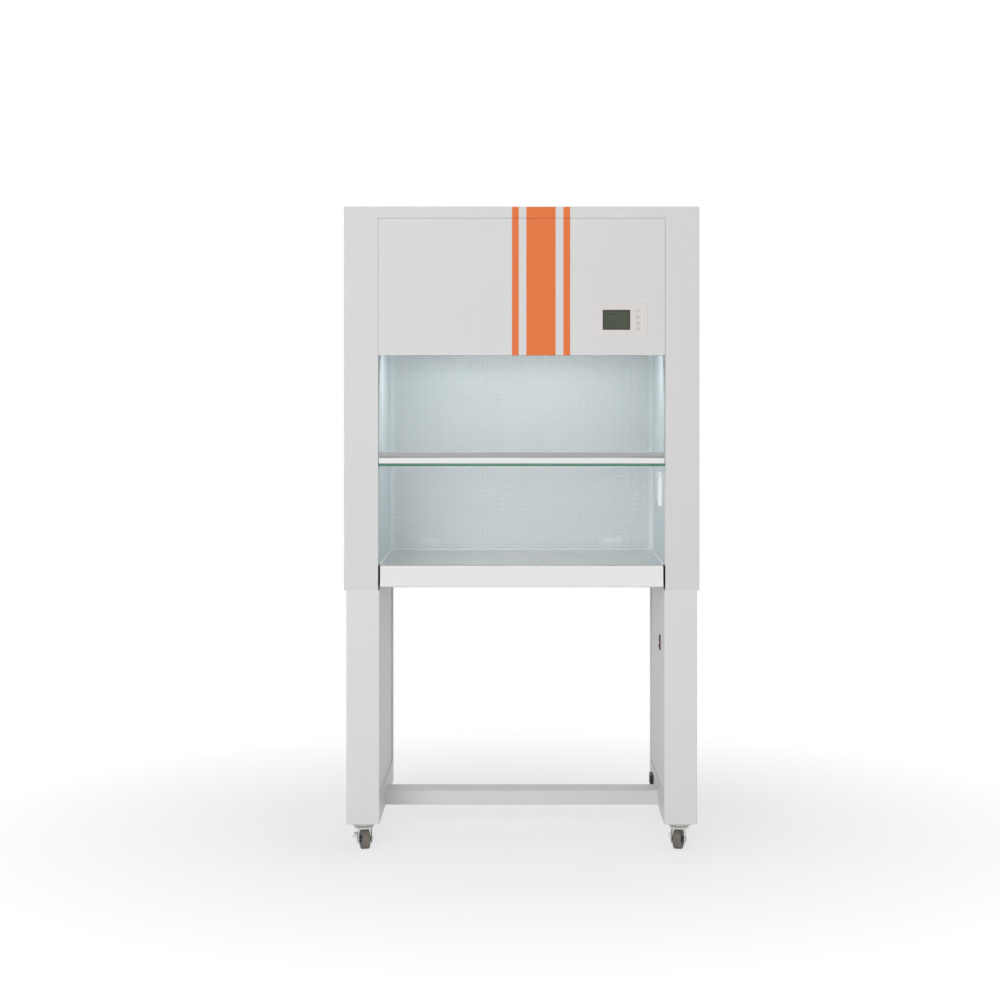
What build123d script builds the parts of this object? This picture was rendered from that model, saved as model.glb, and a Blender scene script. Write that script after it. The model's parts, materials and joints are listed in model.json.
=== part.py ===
from build123d import *
import os

os.makedirs("parts", exist_ok=True)

# Main sizes, in millimetres. X runs to the right, Y to the back and Z up from the floor.
body_width = 900.0
body_depth = 696.0
body_height = 972.0
stand_height = 593.0
caster_height = 68.0
pillar_width = 86.0
worktop_rise = 64.0
opening_height = 531.0
top_band = 29.0
chamber_depth = 485.0
ceiling_rise = 55.0

# Sheet metal and gaps
sheet = 1.5
bend = 2.0
seam = 0.5
fit = 0.3
running = 0.05
fascia_flange = 20.0
return_flange = 10.0
panel_flange = 15.0

# Stand
post_width = 83.0
post_inset = 6.0
post_depth = 40.0
stand_depth = 595.0
base_rail_height = 64.0
panel_recess = 3.0
rear_rail_height = 45.0
beam_depth = 87.0
beam_height = 38.0
beam_setback = 248.0

# Worktop
worktop_gap = 5.3
lip_height = 57.0
lip_setback = 2.0
nose_radius = 7.5
lip_return = 55.0
ledge_width = 18.0

# Air system
diffuser_sheet = 1.2
diffuser_overlap = 15.0
corner_groove = 3.0
hole_size = 14.0
hole_pitch = 70.0
hole_margin = 30.0
land_offset = 252.0
land_rise = 22.0
land_hole = 5.0
gasket_width = 12.0
gasket_thickness = 3.0
filter_depth = 69.0
filter_wall = 14.0
pleat_pitch = 24.0
pleat_thickness = 2.5
blower_setback = 43.0
blower_rise = 152.0
scroll_width = 200.0
scroll_start = 108.0
scroll_growth = 16.0
tongue_offset = 35.0
inlet_radius = 74.0
impeller_radius = 92.0
impeller_width = 170.0
blade_length = 14.0
blade_thickness = 1.2
blade_lean = 8.0
blade_count = 24
hub_radius = 18.0
shaft_radius = 6.0
motor_radius = 52.0
motor_length = 96.0
motor_gap = 18.0
intake_length = 420.0
intake_width = 220.0
intake_setback = 198.0
grille_margin = 14.0
grille_slot = 8.0
grille_slots = 18
prefilter_thickness = 20.0

# Lamps
lamp_length = 549.0
lamp_radius = 8.0
lamp_drop = 35.0
lamp_setback = 200.0
lamp_spacing = 70.0
batten_width = 40.0
batten_height = 22.0
holder_thickness = 12.0

# Sash
glass_thickness = 5.0
glass_setback = 14.0
glass_engagement = 30.0
glass_overlap = 25.0
sash_height = 250.0
sash_rise = 85.0
slide_gap = 0.5
guide_width = 24.0
guide_wall = 3.0
handle_edge = 7.0
handle_height = 28.0
handle_depth = 12.0
hanger_thickness = 8.0
hanger_height = 60.0
hanger_drop = 90.0
pulley_radius = 18.0
pulley_rim = 3.0
pulley_width = 11.0
pulley_axle = 4.0
pulley_top_gap = 43.0
wire_radius = 1.0
weight_width = 24.0
weight_depth = 28.0
weight_length = 550.0
weight_floor_gap = 12.0

# Controller
controller_inset = 111.0
controller_rise = 90.0
controller_width = 133.0
controller_height = 84.0
controller_radius = 6.0
bezel_thickness = 1.5
housing_depth = 9.0
housing_margin = 6.0
housing_wall = 2.0
screen_width = 70.0
screen_height = 51.0
screen_offset = 13.0
key_width = 9.0
key_height = 6.0
key_offset = 41.0
key_pitch = 15.3
key_count = 4
key_proud = 0.5
key_depth = 4.0
key_gap = 0.3

# Sockets and switch
socket_size = 86.0
socket_setback = 138.0
socket_rise = 184.5
socket_thickness = 8.0
socket_box = 60.0
socket_box_depth = 32.0
slot_length = 8.0
slot_width = 2.0
slot_offset = 6.5
flat_pair_rise = 17.0
slanted_pair_drop = 24.0
earth_drop = 11.0
slot_slant = 35.0
rocker_setback = 198.0
rocker_drop = 156.0
rocker_bezel_height = 39.0
rocker_bezel_width = 24.0
rocker_height = 28.0
rocker_width = 14.0
rocker_bezel_proud = 3.0
rocker_body_depth = 22.0
rocker_pin = 1.5
rocker_tilt = 7.0
rocker_wall = 2.0
rocker_reach = 7.5
rocker_dish = 2.0
rocker_belly = 7.0
rocker_tip_inset = 3.5
rocker_root_inset = 2.0
inlet_length = 48.0
inlet_height = 28.0
inlet_proud = 9.0
inlet_setback = 458.0
inlet_rise = 30.0
inlet_pin_spacing = 6.0
inlet_pin_width = 1.5
inlet_pin_height = 4.0

# Casters
wheel_radius = 25.0
wheel_width = 22.0
wheel_trail = 12.0
wheel_hub_radius = 8.0
wheel_dish_radius = 17.0
tyre_chamfer = 3.5
axle_radius = 4.0
fork_outer = 36.0
fork_wall = 2.5
fork_nose_drop = 12.0
fork_cheek_rise = 4.0
hood_height = 6.0
race_radius = 22.0
hood_radius = 25.0
kingpin_radius = 5.0
mount_plate = 62.0
mount_plate_thickness = 3.0
mount_screw_spacing = 48.0
front_caster_setback = 42.0
rear_caster_setback = 43.0
front_turns = (14.0, -16.0)
rear_turns = (-35.0, 28.0)
pedal_width = 16.0
pedal_thickness = 2.0
pedal_reach = 8.0
pedal_rise = 11.0
pedal_pin = 1.5

# Screws, all with six-sided heads
screw_head_radius = 4.5
screw_head_height = 2.5
screw_rows = 5

# Planes and places worked out from the sizes above
front = -body_depth / 2
back = body_depth / 2
half_width = body_width / 2
stand_bottom = caster_height
body_bottom = stand_bottom + stand_height
body_top = body_bottom + body_height
opening_half = half_width - pillar_width
worktop_top = body_bottom + worktop_rise
opening_top = worktop_top + opening_height
head_panel_top = body_top - top_band
ceiling_z = opening_top + ceiling_rise
diffuser_y = front + chamber_depth
chamber_back = diffuser_y - corner_groove
glass_y = front + glass_setback
glass_half = opening_half + glass_engagement
glass_bottom = worktop_top + sash_height
glass_top = glass_bottom + opening_height + glass_overlap
guide_front = glass_y - slide_gap - guide_wall
guide_back = glass_y + glass_thickness + slide_gap
liner_front = guide_back + guide_wall + fit
stand_outer = half_width - post_inset
stand_inner = stand_outer - post_width
stand_back = front + stand_depth
shelf_z = ceiling_z + panel_flange
wire_y = glass_y + glass_thickness / 2
blower_y = diffuser_y + blower_setback
intake_y = front + intake_setback
controller_x = opening_half - controller_inset
controller_z = opening_top + controller_rise
rocker_y = front + rocker_setback
rocker_z = body_bottom - rocker_drop
inlet_y = front + inlet_setback
inlet_z = stand_bottom + inlet_rise
socket_y = front + socket_setback + socket_size / 2
socket_z = worktop_top + socket_rise


def hand_in(piece, name):
    """Label a finished piece and write it to its own file."""
    piece.part.label = name
    export_step(piece.part, f"parts/{name}.step")


def block(x_span, y_span, z_span, mode=Mode.ADD):
    """Add or cut a block that lies between three pairs of coordinates."""
    spans = (x_span, y_span, z_span)
    with Locations(tuple((low + high) / 2 for low, high in spans)):
        Box(*(abs(high - low) for low, high in spans), mode=mode)


def mirrored(side, low, high):
    """Give a span along X on the left (side -1) or right (side 1)."""
    return tuple(sorted((side * low, side * high)))


sides = {"left": -1, "right": 1}

# Stand: each side is a hollow weldment of two posts, a base rail and recessed skins,
# open at the top, where the body stands on it
for side_name, side in sides.items():
    with BuildPart() as stand_side:
        block((stand_inner, stand_outer), (front, stand_back), (stand_bottom, body_bottom))
        fillet(stand_side.edges().filter_by(Axis.Z), bend)
        panel_y = (front + post_depth, stand_back - post_depth)
        panel_bottom = stand_bottom + base_rail_height
        inner_recess = (stand_inner, stand_inner + panel_recess)
        outer_recess = (stand_outer - panel_recess, stand_outer)
        for recess in (inner_recess, outer_recess):
            block(recess, panel_y, (panel_bottom, body_bottom), Mode.SUBTRACT)
        inside_x = (stand_inner + sheet, stand_outer - sheet)
        inside_y = (front + sheet, stand_back - sheet)
        hollows = (
            (inside_x, (inside_y[0], panel_y[0] - sheet), body_bottom),
            (inside_x, (panel_y[1] + sheet, inside_y[1]), body_bottom),
            (inside_x, inside_y, panel_bottom - sheet),
            ((inner_recess[1] + sheet, outer_recess[0] - sheet), inside_y, body_bottom),
        )
        for hollow_x, hollow_y, hollow_top in hollows:
            block(hollow_x, hollow_y, (stand_bottom + sheet, hollow_top), Mode.SUBTRACT)
        if side > 0:
            with BuildSketch(Plane.YZ.offset(stand_inner)):
                with Locations((rocker_y, rocker_z)):
                    Rectangle(rocker_width + 2 * rocker_wall, rocker_height + 2 * rocker_wall)
            extrude(amount=panel_recess + sheet, mode=Mode.SUBTRACT)
        else:
            mirror(about=Plane.YZ, mode=Mode.REPLACE)
    hand_in(stand_side, f"stand_side_{side_name}")

with BuildPart() as footrest_beam:
    beam_y = (front + beam_setback, front + beam_setback + beam_depth)
    with BuildSketch(Plane.YZ.offset(-stand_inner)):
        with Locations((sum(beam_y) / 2, stand_bottom + fit + beam_height / 2)):
            RectangleRounded(beam_depth, beam_height, bend)
            RectangleRounded(beam_depth - 2 * sheet, beam_height - 2 * sheet, bend / 2, mode=Mode.SUBTRACT)
    extrude(amount=2 * stand_inner)
hand_in(footrest_beam, "footrest_beam")

with BuildPart() as rear_rail:
    with BuildSketch(Plane.YZ.offset(-stand_inner)):
        with Locations((stand_back - post_depth / 2, body_bottom - rear_rail_height / 2)):
            RectangleRounded(post_depth, rear_rail_height, bend)
            RectangleRounded(post_depth - 2 * sheet, rear_rail_height - 2 * sheet, bend / 2,
                             mode=Mode.SUBTRACT)
    extrude(amount=2 * stand_inner)
hand_in(rear_rail, "stand_rear_rail")

# Front fascia: the two pillars and the top band, one folded sheet round the opening
with BuildPart() as front_fascia:
    with BuildSketch(Plane.XZ.offset(-front)):
        with Locations((0, body_bottom)):
            Rectangle(body_width, body_height, align=(Align.CENTER, Align.MIN))
    extrude(amount=-fascia_flange)
    fillet(front_fascia.edges().group_by(Axis.Y)[0].filter_by(Axis.Z), bend)
    fillet(front_fascia.edges().filter_by(Axis.X).sort_by(Axis.Y)[:2].sort_by(Axis.Z)[-1], bend)
    offset(amount=-sheet, openings=front_fascia.faces().sort_by(Axis.Y)[-1])
    with BuildSketch(Plane.XZ.offset(-front)):
        with Locations((0, body_bottom)):
            Rectangle(2 * opening_half, head_panel_top - body_bottom, align=(Align.CENTER, Align.MIN))
    extrude(amount=-fascia_flange, mode=Mode.SUBTRACT)
    with BuildSketch(Plane.XZ.offset(-front)):
        with Locations((0, body_bottom)):
            Rectangle(2 * (opening_half + sheet), head_panel_top + sheet - body_bottom,
                      align=(Align.CENTER, Align.MIN))
            Rectangle(2 * opening_half, head_panel_top - body_bottom,
                      align=(Align.CENTER, Align.MIN), mode=Mode.SUBTRACT)
    extrude(amount=-return_flange)
hand_in(front_fascia, "front_fascia")

# Head panel: a shallow pan set into the fascia above the opening, cut out for the controller
with BuildPart() as head_front_panel:
    panel_height = head_panel_top - seam - opening_top
    with BuildSketch(Plane.XZ.offset(-front)):
        with Locations((0, opening_top)):
            Rectangle(2 * (opening_half - seam), panel_height, align=(Align.CENTER, Align.MIN))
    extrude(amount=-(return_flange - seam))
    fillet(head_front_panel.edges().group_by(Axis.Y)[0], bend / 2)
    offset(amount=-sheet, openings=head_front_panel.faces().sort_by(Axis.Y)[-1])
    with BuildSketch(Plane.XZ.offset(-front)):
        with Locations((controller_x, controller_z)):
            Rectangle(controller_width - 2 * housing_margin + 2 * fit,
                      controller_height - 2 * housing_margin + 2 * fit)
    extrude(amount=-sheet, mode=Mode.SUBTRACT)
hand_in(head_front_panel, "head_front_panel")

# Side panels: flat sheets with a foot flange that stands on the stand, and a back flange
side_front = front + fascia_flange + fit
back_flange_top = body_top - panel_flange - fit
for side_name, side in sides.items():
    with BuildPart() as side_panel:
        with BuildSketch(Plane.XY.offset(body_bottom)):
            with BuildLine():
                FilletPolyline(
                    (side * (half_width - sheet / 2), side_front),
                    (side * (half_width - sheet / 2), back - sheet / 2),
                    (side * (half_width - panel_flange), back - sheet / 2),
                    radius=bend,
                )
            trace(line_width=sheet)
        extrude(amount=body_height)
        block(mirrored(side, half_width - panel_flange - 1, half_width - sheet),
              (side_front, back), (back_flange_top, body_top), Mode.SUBTRACT)
        block(mirrored(side, half_width - fascia_flange, half_width - sheet / 2),
              (side_front, back - sheet / 2), (body_bottom, body_bottom + sheet))
    hand_in(side_panel, f"side_panel_{side_name}")

# Top panel: a pan between the side panels, with the air intake cut out
panel_half = half_width - sheet - fit
with BuildPart() as top_panel:
    with BuildSketch(Plane.XY.offset(body_top - panel_flange)):
        with Locations((0, (side_front + back) / 2)):
            Rectangle(2 * panel_half, back - side_front)
    extrude(amount=panel_flange)
    fillet(top_panel.edges().group_by(Axis.Z)[-1].sort_by(Axis.Y)[-1], bend)
    offset(amount=-sheet, openings=top_panel.faces().sort_by(Axis.Z)[0])
    with BuildSketch(Plane.XY.offset(body_top)):
        with Locations((0, intake_y)):
            RectangleRounded(intake_length, intake_width, bend * 4)
    extrude(amount=-sheet, mode=Mode.SUBTRACT)
hand_in(top_panel, "top_panel")

# Back panel: a pan inside the back flanges of the side panels
back_panel_y = back - sheet
back_panel_half = panel_half - bend
with BuildPart() as back_panel:
    back_panel_bottom = body_bottom + 2 * sheet + fit
    with BuildSketch(Plane.XZ.offset(-back_panel_y)):
        with Locations((0, back_panel_bottom)):
            Rectangle(2 * back_panel_half, back_flange_top - back_panel_bottom - fit,
                      align=(Align.CENTER, Align.MIN))
    extrude(amount=return_flange)
    offset(amount=-sheet, openings=back_panel.faces().sort_by(Axis.Y)[0])
hand_in(back_panel, "back_panel")

# Floor pan: lies on the foot flanges of the side panels
with BuildPart() as floor_pan:
    floor_front = front + lip_setback + lip_return + 2 * panel_flange / 3
    with BuildSketch(Plane.YZ.offset(-panel_half)):
        with BuildLine():
            FilletPolyline(
                (floor_front, body_bottom + sheet + panel_flange),
                (floor_front, body_bottom + 1.5 * sheet),
                (back_panel_y - sheet - fit, body_bottom + 1.5 * sheet),
                radius=bend,
            )
        trace(line_width=sheet)
    extrude(amount=2 * panel_half)
    block((-panel_half, -opening_half), (floor_front - sheet, floor_front + bend),
          (body_bottom + 2 * sheet, worktop_top), Mode.SUBTRACT)
    block((opening_half, panel_half), (floor_front - sheet, floor_front + bend),
          (body_bottom + 2 * sheet, worktop_top), Mode.SUBTRACT)
hand_in(floor_pan, "floor_pan")

# Worktop: stainless tray with a rolled nose, a front lip and a return under it
with BuildPart() as worktop:
    worktop_half = opening_half - worktop_gap
    lip_front = front + lip_setback + sheet / 2
    lip_bottom = worktop_top - lip_height + sheet / 2
    with BuildSketch(Plane.YZ.offset(-worktop_half)):
        with BuildLine():
            FilletPolyline(
                (chamber_back, worktop_top - sheet / 2),
                (lip_front, worktop_top - sheet / 2),
                (lip_front, lip_bottom),
                (lip_front + lip_return, lip_bottom),
                radius=[nose_radius, nose_radius / 2],
            )
        trace(line_width=sheet)
    extrude(amount=2 * worktop_half)
hand_in(worktop, "worktop")

# Side liners: chamber walls that stand flush with the opening, jogged outwards at the back to
# leave a groove in the corner, with a ledge under the worktop
liner_x = opening_half + sheet / 2
ledge_top = worktop_top - sheet
for side_name, side in sides.items():
    with BuildPart() as side_liner:
        with BuildSketch(Plane.XY.offset(ledge_top - sheet)):
            with BuildLine():
                Polyline(
                    (side * (liner_x + panel_flange), liner_front + sheet / 2),
                    (side * liner_x, liner_front + sheet / 2),
                    (side * liner_x, chamber_back - corner_groove),
                    (side * (liner_x + corner_groove), chamber_back - corner_groove),
                    (side * (liner_x + corner_groove), diffuser_y - sheet / 2),
                    (side * (liner_x + corner_groove + panel_flange), diffuser_y - sheet / 2),
                )
            trace(line_width=sheet)
        extrude(amount=ceiling_z + sheet - ledge_top + sheet)
        block(mirrored(side, opening_half - ledge_width, opening_half + sheet / 2),
              (liner_front, chamber_back - corner_groove), (ledge_top - sheet, ledge_top))
        if side > 0:
            block((opening_half, opening_half + sheet),
                  (socket_y - socket_box / 2 - fit, socket_y + socket_box / 2 + fit),
                  (socket_z - socket_box / 2 - fit, socket_z + socket_box / 2 + fit), Mode.SUBTRACT)
    hand_in(side_liner, f"side_liner_{side_name}")

# Ceiling of the chamber: a pan between the liners
with BuildPart() as ceiling_panel:
    ceiling_front = guide_back + glass_setback
    with BuildSketch(Plane.XY.offset(ceiling_z)):
        with Locations((0, (ceiling_front + chamber_back) / 2)):
            Rectangle(2 * (opening_half - fit), chamber_back - ceiling_front)
    extrude(amount=panel_flange - fit)
    offset(amount=-sheet, openings=ceiling_panel.faces().sort_by(Axis.Z)[-1])
hand_in(ceiling_panel, "ceiling_panel")

# Diffuser: the perforated back wall, a pan that holds the filter from the front
diffuser_half = opening_half + diffuser_overlap
diffuser_bottom = worktop_top - diffuser_overlap - sheet
diffuser_top = shelf_z - fit
with BuildPart() as diffuser_plate:
    diffuser_height = diffuser_top - diffuser_bottom
    with BuildSketch(Plane.XZ.offset(-diffuser_y)):
        with Locations((0, diffuser_bottom)):
            Rectangle(2 * diffuser_half, diffuser_height, align=(Align.CENTER, Align.MIN))
    extrude(amount=-panel_flange)
    offset(amount=-diffuser_sheet, openings=diffuser_plate.faces().sort_by(Axis.Y)[-1])
    columns = int((2 * opening_half - 2 * hole_margin) // hole_pitch)
    rows = int((opening_top - worktop_top - hole_margin) // hole_pitch)
    with BuildSketch(Plane.XZ.offset(-diffuser_y)):
        with Locations((0, (opening_top + worktop_top) / 2 + hole_margin / 2)):
            with GridLocations(hole_pitch, hole_pitch, columns, rows):
                RegularPolygon(hole_size / 2, 6)
            with GridLocations(hole_pitch, hole_pitch, columns - 1, rows - 1):
                RegularPolygon(hole_size / 2, 6)
        with Locations((-land_offset, worktop_top + land_rise), (land_offset, worktop_top + land_rise)):
            Circle(land_hole / 2)
    extrude(amount=-diffuser_sheet, mode=Mode.SUBTRACT)
hand_in(diffuser_plate, "diffuser_plate")

# Filter: gasket, frame and pleated pack
filter_half = diffuser_half - diffuser_sheet - fit
filter_bottom = diffuser_bottom + diffuser_sheet + fit
filter_height = diffuser_top - diffuser_sheet - fit - filter_bottom
filter_middle = filter_bottom + filter_height / 2
gasket_y = diffuser_y + diffuser_sheet
filter_y = gasket_y + gasket_thickness
with BuildPart() as filter_gasket:
    with BuildSketch(Plane.XZ.offset(-gasket_y)):
        with Locations((0, filter_middle)):
            Rectangle(2 * filter_half, filter_height)
            Rectangle(2 * (filter_half - gasket_width), filter_height - 2 * gasket_width, mode=Mode.SUBTRACT)
    extrude(amount=-gasket_thickness)
hand_in(filter_gasket, "filter_gasket")

with BuildPart() as filter_frame:
    with BuildSketch(Plane.XZ.offset(-filter_y)):
        with Locations((0, filter_middle)):
            Rectangle(2 * filter_half, filter_height)
            Rectangle(2 * (filter_half - filter_wall), filter_height - 2 * filter_wall, mode=Mode.SUBTRACT)
    extrude(amount=-filter_depth)
hand_in(filter_frame, "hepa_filter_frame")

with BuildPart() as filter_pleats:
    pack_half = filter_half - filter_wall - fit
    pleat_depth = filter_depth - filter_wall
    pleats = int(2 * pack_half // pleat_pitch)
    pleat_start = -pleats * pleat_pitch / 2
    near = filter_y + filter_wall / 2
    corners = [(pleat_start + n * pleat_pitch / 2, near + (n % 2) * pleat_depth)
               for n in range(2 * pleats + 1)]
    with BuildSketch(Plane.XY.offset(filter_bottom + filter_wall)):
        with BuildLine():
            Polyline(*corners)
        trace(line_width=pleat_thickness)
    extrude(amount=filter_height - 2 * filter_wall)
hand_in(filter_pleats, "hepa_filter_pleats")

# Shelf over the plenum, which carries the blower and lets it blow down behind the filter
blower_z = shelf_z + sheet + blower_rise
scroll_back = blower_y + scroll_start + 3 * scroll_growth
outlet_front = blower_y + tongue_offset
with BuildPart() as blower_shelf:
    shelf_back = back_panel_y - sheet - fit
    with BuildSketch(Plane.XY.offset(shelf_z)):
        with Locations((0, (diffuser_y + shelf_back) / 2)):
            Rectangle(2 * (back_panel_half - sheet - fit), shelf_back - diffuser_y)
        with Locations((0, (outlet_front + scroll_back) / 2)):
            Rectangle(scroll_width - 2 * sheet, scroll_back - outlet_front - 2 * sheet, mode=Mode.SUBTRACT)
    extrude(amount=sheet)
hand_in(blower_shelf, "blower_shelf")

# Blower scroll: a volute of three quarter arcs that ends in a straight outlet, with an inlet
# ring on each side
with BuildPart() as blower_housing:
    r1 = scroll_start
    r2 = r1 + scroll_growth
    r3 = r2 + scroll_growth
    grow = scroll_growth
    tongue = (blower_y + tongue_offset, blower_z - r1 * 0.9)
    outlet_z = shelf_z + sheet
    with BuildSketch(Plane.YZ.offset(-scroll_width / 2)):
        with BuildLine():
            RadiusArc((blower_y, blower_z - r1), (blower_y - r1, blower_z), r1)
            RadiusArc((blower_y - r1, blower_z), (blower_y + grow, blower_z + r2), r2)
            RadiusArc((blower_y + grow, blower_z + r2), (blower_y + grow + r3, blower_z - grow), r3)
            Polyline(
                (blower_y + grow + r3, blower_z - grow),
                (blower_y + grow + r3, outlet_z),
                (tongue[0], outlet_z),
                tongue,
                (blower_y, blower_z - r1),
            )
        make_face()
    extrude(amount=scroll_width)
    offset(amount=-sheet, openings=blower_housing.faces().sort_by(Axis.Z)[0])
    with BuildSketch(Plane.YZ.offset(-scroll_width / 2)):
        with Locations((blower_y, blower_z)):
            Circle(inlet_radius)
    extrude(amount=scroll_width, mode=Mode.SUBTRACT)
    with BuildSketch(Plane.YZ.offset(-scroll_width / 2 - sheet)):
        with Locations((blower_y, blower_z)):
            Circle(inlet_radius + 4 * sheet)
            Circle(inlet_radius, mode=Mode.SUBTRACT)
    extrude(amount=sheet)
    with BuildSketch(Plane.YZ.offset(scroll_width / 2)):
        with Locations((blower_y, blower_z)):
            Circle(inlet_radius + 4 * sheet)
            Circle(inlet_radius, mode=Mode.SUBTRACT)
    extrude(amount=sheet)
hand_in(blower_housing, "blower_housing")

# Impeller: forward-curved blades between two rings, a centre disc and the hub on its shaft
motor_right = -scroll_width / 2 - motor_gap
motor_left = motor_right - motor_length
blade_inner = impeller_radius - blade_length
with BuildSketch() as blade:
    with BuildLine():
        Polyline(
            (blade_inner + blade_thickness, 0),
            (impeller_radius - blade_length / 2, blade_lean / 5),
            (impeller_radius - 2 * blade_thickness, blade_lean),
        )
    trace(line_width=blade_thickness)

with BuildPart() as blower_impeller:
    ring_thickness = 2 * blade_thickness
    with BuildSketch(Plane.YZ.offset(-impeller_width / 2)):
        with Locations((blower_y, blower_z)):
            with PolarLocations(0, blade_count):
                add(blade.sketch)
    extrude(amount=impeller_width)
    for ring_x in (-impeller_width / 2, impeller_width / 2 - ring_thickness):
        with BuildSketch(Plane.YZ.offset(ring_x)):
            with Locations((blower_y, blower_z)):
                Circle(impeller_radius)
                Circle(blade_inner, mode=Mode.SUBTRACT)
        extrude(amount=ring_thickness)
    with BuildSketch(Plane.YZ.offset(-ring_thickness / 2)):
        with Locations((blower_y, blower_z)):
            Circle(impeller_radius)
    extrude(amount=ring_thickness)
    with BuildSketch(Plane.YZ):
        with Locations((blower_y, blower_z)):
            Circle(hub_radius)
    extrude(amount=hub_radius, both=True)
    with BuildSketch(Plane.YZ.offset(motor_left + motor_radius / 2)):
        with Locations((blower_y, blower_z)):
            Circle(shaft_radius)
    extrude(amount=-motor_left - motor_radius / 2)
hand_in(blower_impeller, "blower_impeller")

# Motor: a round can with end bells on a folded pedestal
with BuildPart() as blower_motor:
    with BuildSketch(Plane.YZ.offset(motor_left)):
        with Locations((blower_y, blower_z)):
            Circle(motor_radius)
    extrude(amount=motor_length)
    chamfer(blower_motor.edges().filter_by(GeomType.CIRCLE), motor_radius / 6)
    with BuildSketch(Plane.YZ.offset(motor_left + motor_length / 4)):
        with BuildLine():
            Polyline(
                (blower_y - motor_radius, shelf_z + sheet),
                (blower_y + motor_radius, shelf_z + sheet),
                (blower_y + motor_radius / 2, blower_z - motor_radius / 2),
                (blower_y - motor_radius / 2, blower_z - motor_radius / 2),
                close=True,
            )
        make_face()
    extrude(amount=motor_length / 2)
    block((motor_left + motor_length / 4 + sheet, motor_right - motor_length / 4 - sheet),
          (blower_y - motor_radius, blower_y + motor_radius),
          (shelf_z + sheet, blower_z - motor_radius), Mode.SUBTRACT)
    with BuildSketch(Plane.YZ.offset(motor_right)):
        with Locations((blower_y, blower_z)):
            Circle(shaft_radius + running)
    extrude(amount=-(motor_length - motor_radius / 2 + running), mode=Mode.SUBTRACT)
hand_in(blower_motor, "blower_motor")

# Intake grille: slotted plate under the top panel, with a rim that holds the prefilter pad
grille_top = body_top - sheet
with BuildPart() as intake_grille:
    rim_depth = prefilter_thickness + 2 * sheet + 2 * fit
    with BuildSketch(Plane.XY.offset(grille_top - rim_depth)):
        with Locations((0, intake_y)):
            Rectangle(intake_length + 2 * grille_margin, intake_width + 2 * grille_margin)
    extrude(amount=rim_depth)
    offset(amount=-sheet, openings=intake_grille.faces().sort_by(Axis.Z)[0])
    slot_pitch = (intake_length - 2 * grille_margin) / (grille_slots - 1)
    with BuildSketch(Plane.XY.offset(grille_top)):
        with Locations((0, intake_y)):
            with GridLocations(slot_pitch, intake_width / 2, grille_slots, 2):
                Rectangle(grille_slot, intake_width / 2 - grille_margin)
    extrude(amount=-sheet, mode=Mode.SUBTRACT)
    for y in (intake_y - intake_width / 2 - grille_margin, intake_y + intake_width / 2):
        block((-intake_length / 2, intake_length / 2), (y, y + grille_margin),
              (grille_top - rim_depth, grille_top - rim_depth + sheet))
hand_in(intake_grille, "intake_grille")

with BuildPart() as prefilter_pad:
    pad_margin = 2 * (grille_margin - sheet - fit)
    with BuildSketch(Plane.XY.offset(grille_top - sheet - fit - prefilter_thickness)):
        with Locations((0, intake_y)):
            Rectangle(intake_length + pad_margin, intake_width + pad_margin)
    extrude(amount=prefilter_thickness)
    fillet(prefilter_pad.edges().filter_by(Axis.Z), bend)
hand_in(prefilter_pad, "prefilter_pad")

# Lamps under the ceiling: two battens with end holders, a white tube and a germicidal tube
lamp_z = ceiling_z - lamp_drop
lamp_rows = {"work_lamp_tube": front + lamp_setback, "uv_lamp_tube": front + lamp_setback + lamp_spacing}
for lamp_name, lamp_y in lamp_rows.items():
    with BuildPart() as lamp_tube:
        with BuildSketch(Plane.YZ.offset(-lamp_length / 2)):
            with Locations((lamp_y, lamp_z)):
                Circle(lamp_radius)
        extrude(amount=lamp_length)
        chamfer(lamp_tube.edges().filter_by(GeomType.CIRCLE), lamp_radius / 6)
    hand_in(lamp_tube, lamp_name)

with BuildPart() as lamp_battens:
    for lamp_y in lamp_rows.values():
        with BuildSketch(Plane.YZ.offset(-lamp_length / 2)):
            with Locations((lamp_y, ceiling_z - batten_height / 2)):
                Trapezoid(batten_width, batten_height, 80, rotation=180)
        extrude(amount=lamp_length)
        for end in (-1, 1):
            holder_plane = Plane.YZ.offset(end * (lamp_length / 2 + fit + holder_thickness / 2))
            with BuildSketch(holder_plane):
                with Locations((lamp_y, (ceiling_z + lamp_z) / 2 - lamp_radius / 2)):
                    Rectangle(2.5 * lamp_radius, lamp_drop + lamp_radius)
            extrude(amount=holder_thickness / 2, both=True)
            block(mirrored(end, lamp_length / 2 - fit, lamp_length / 2 + 2 * fit),
                  (lamp_y - lamp_radius, lamp_y + lamp_radius), (ceiling_z - batten_height, ceiling_z))
hand_in(lamp_battens, "lamp_battens")

# Sash: glass, the handle along its lower edge and a hanger at each side
with BuildPart() as sash_glass:
    with BuildSketch(Plane.XZ.offset(-glass_y)):
        with Locations((0, glass_bottom)):
            Rectangle(2 * glass_half, glass_top - glass_bottom, align=(Align.CENTER, Align.MIN))
    extrude(amount=-glass_thickness)
    chamfer(sash_glass.edges().filter_by(Axis.X), glass_thickness / 8)
hand_in(sash_glass, "sash_glass")

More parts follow.
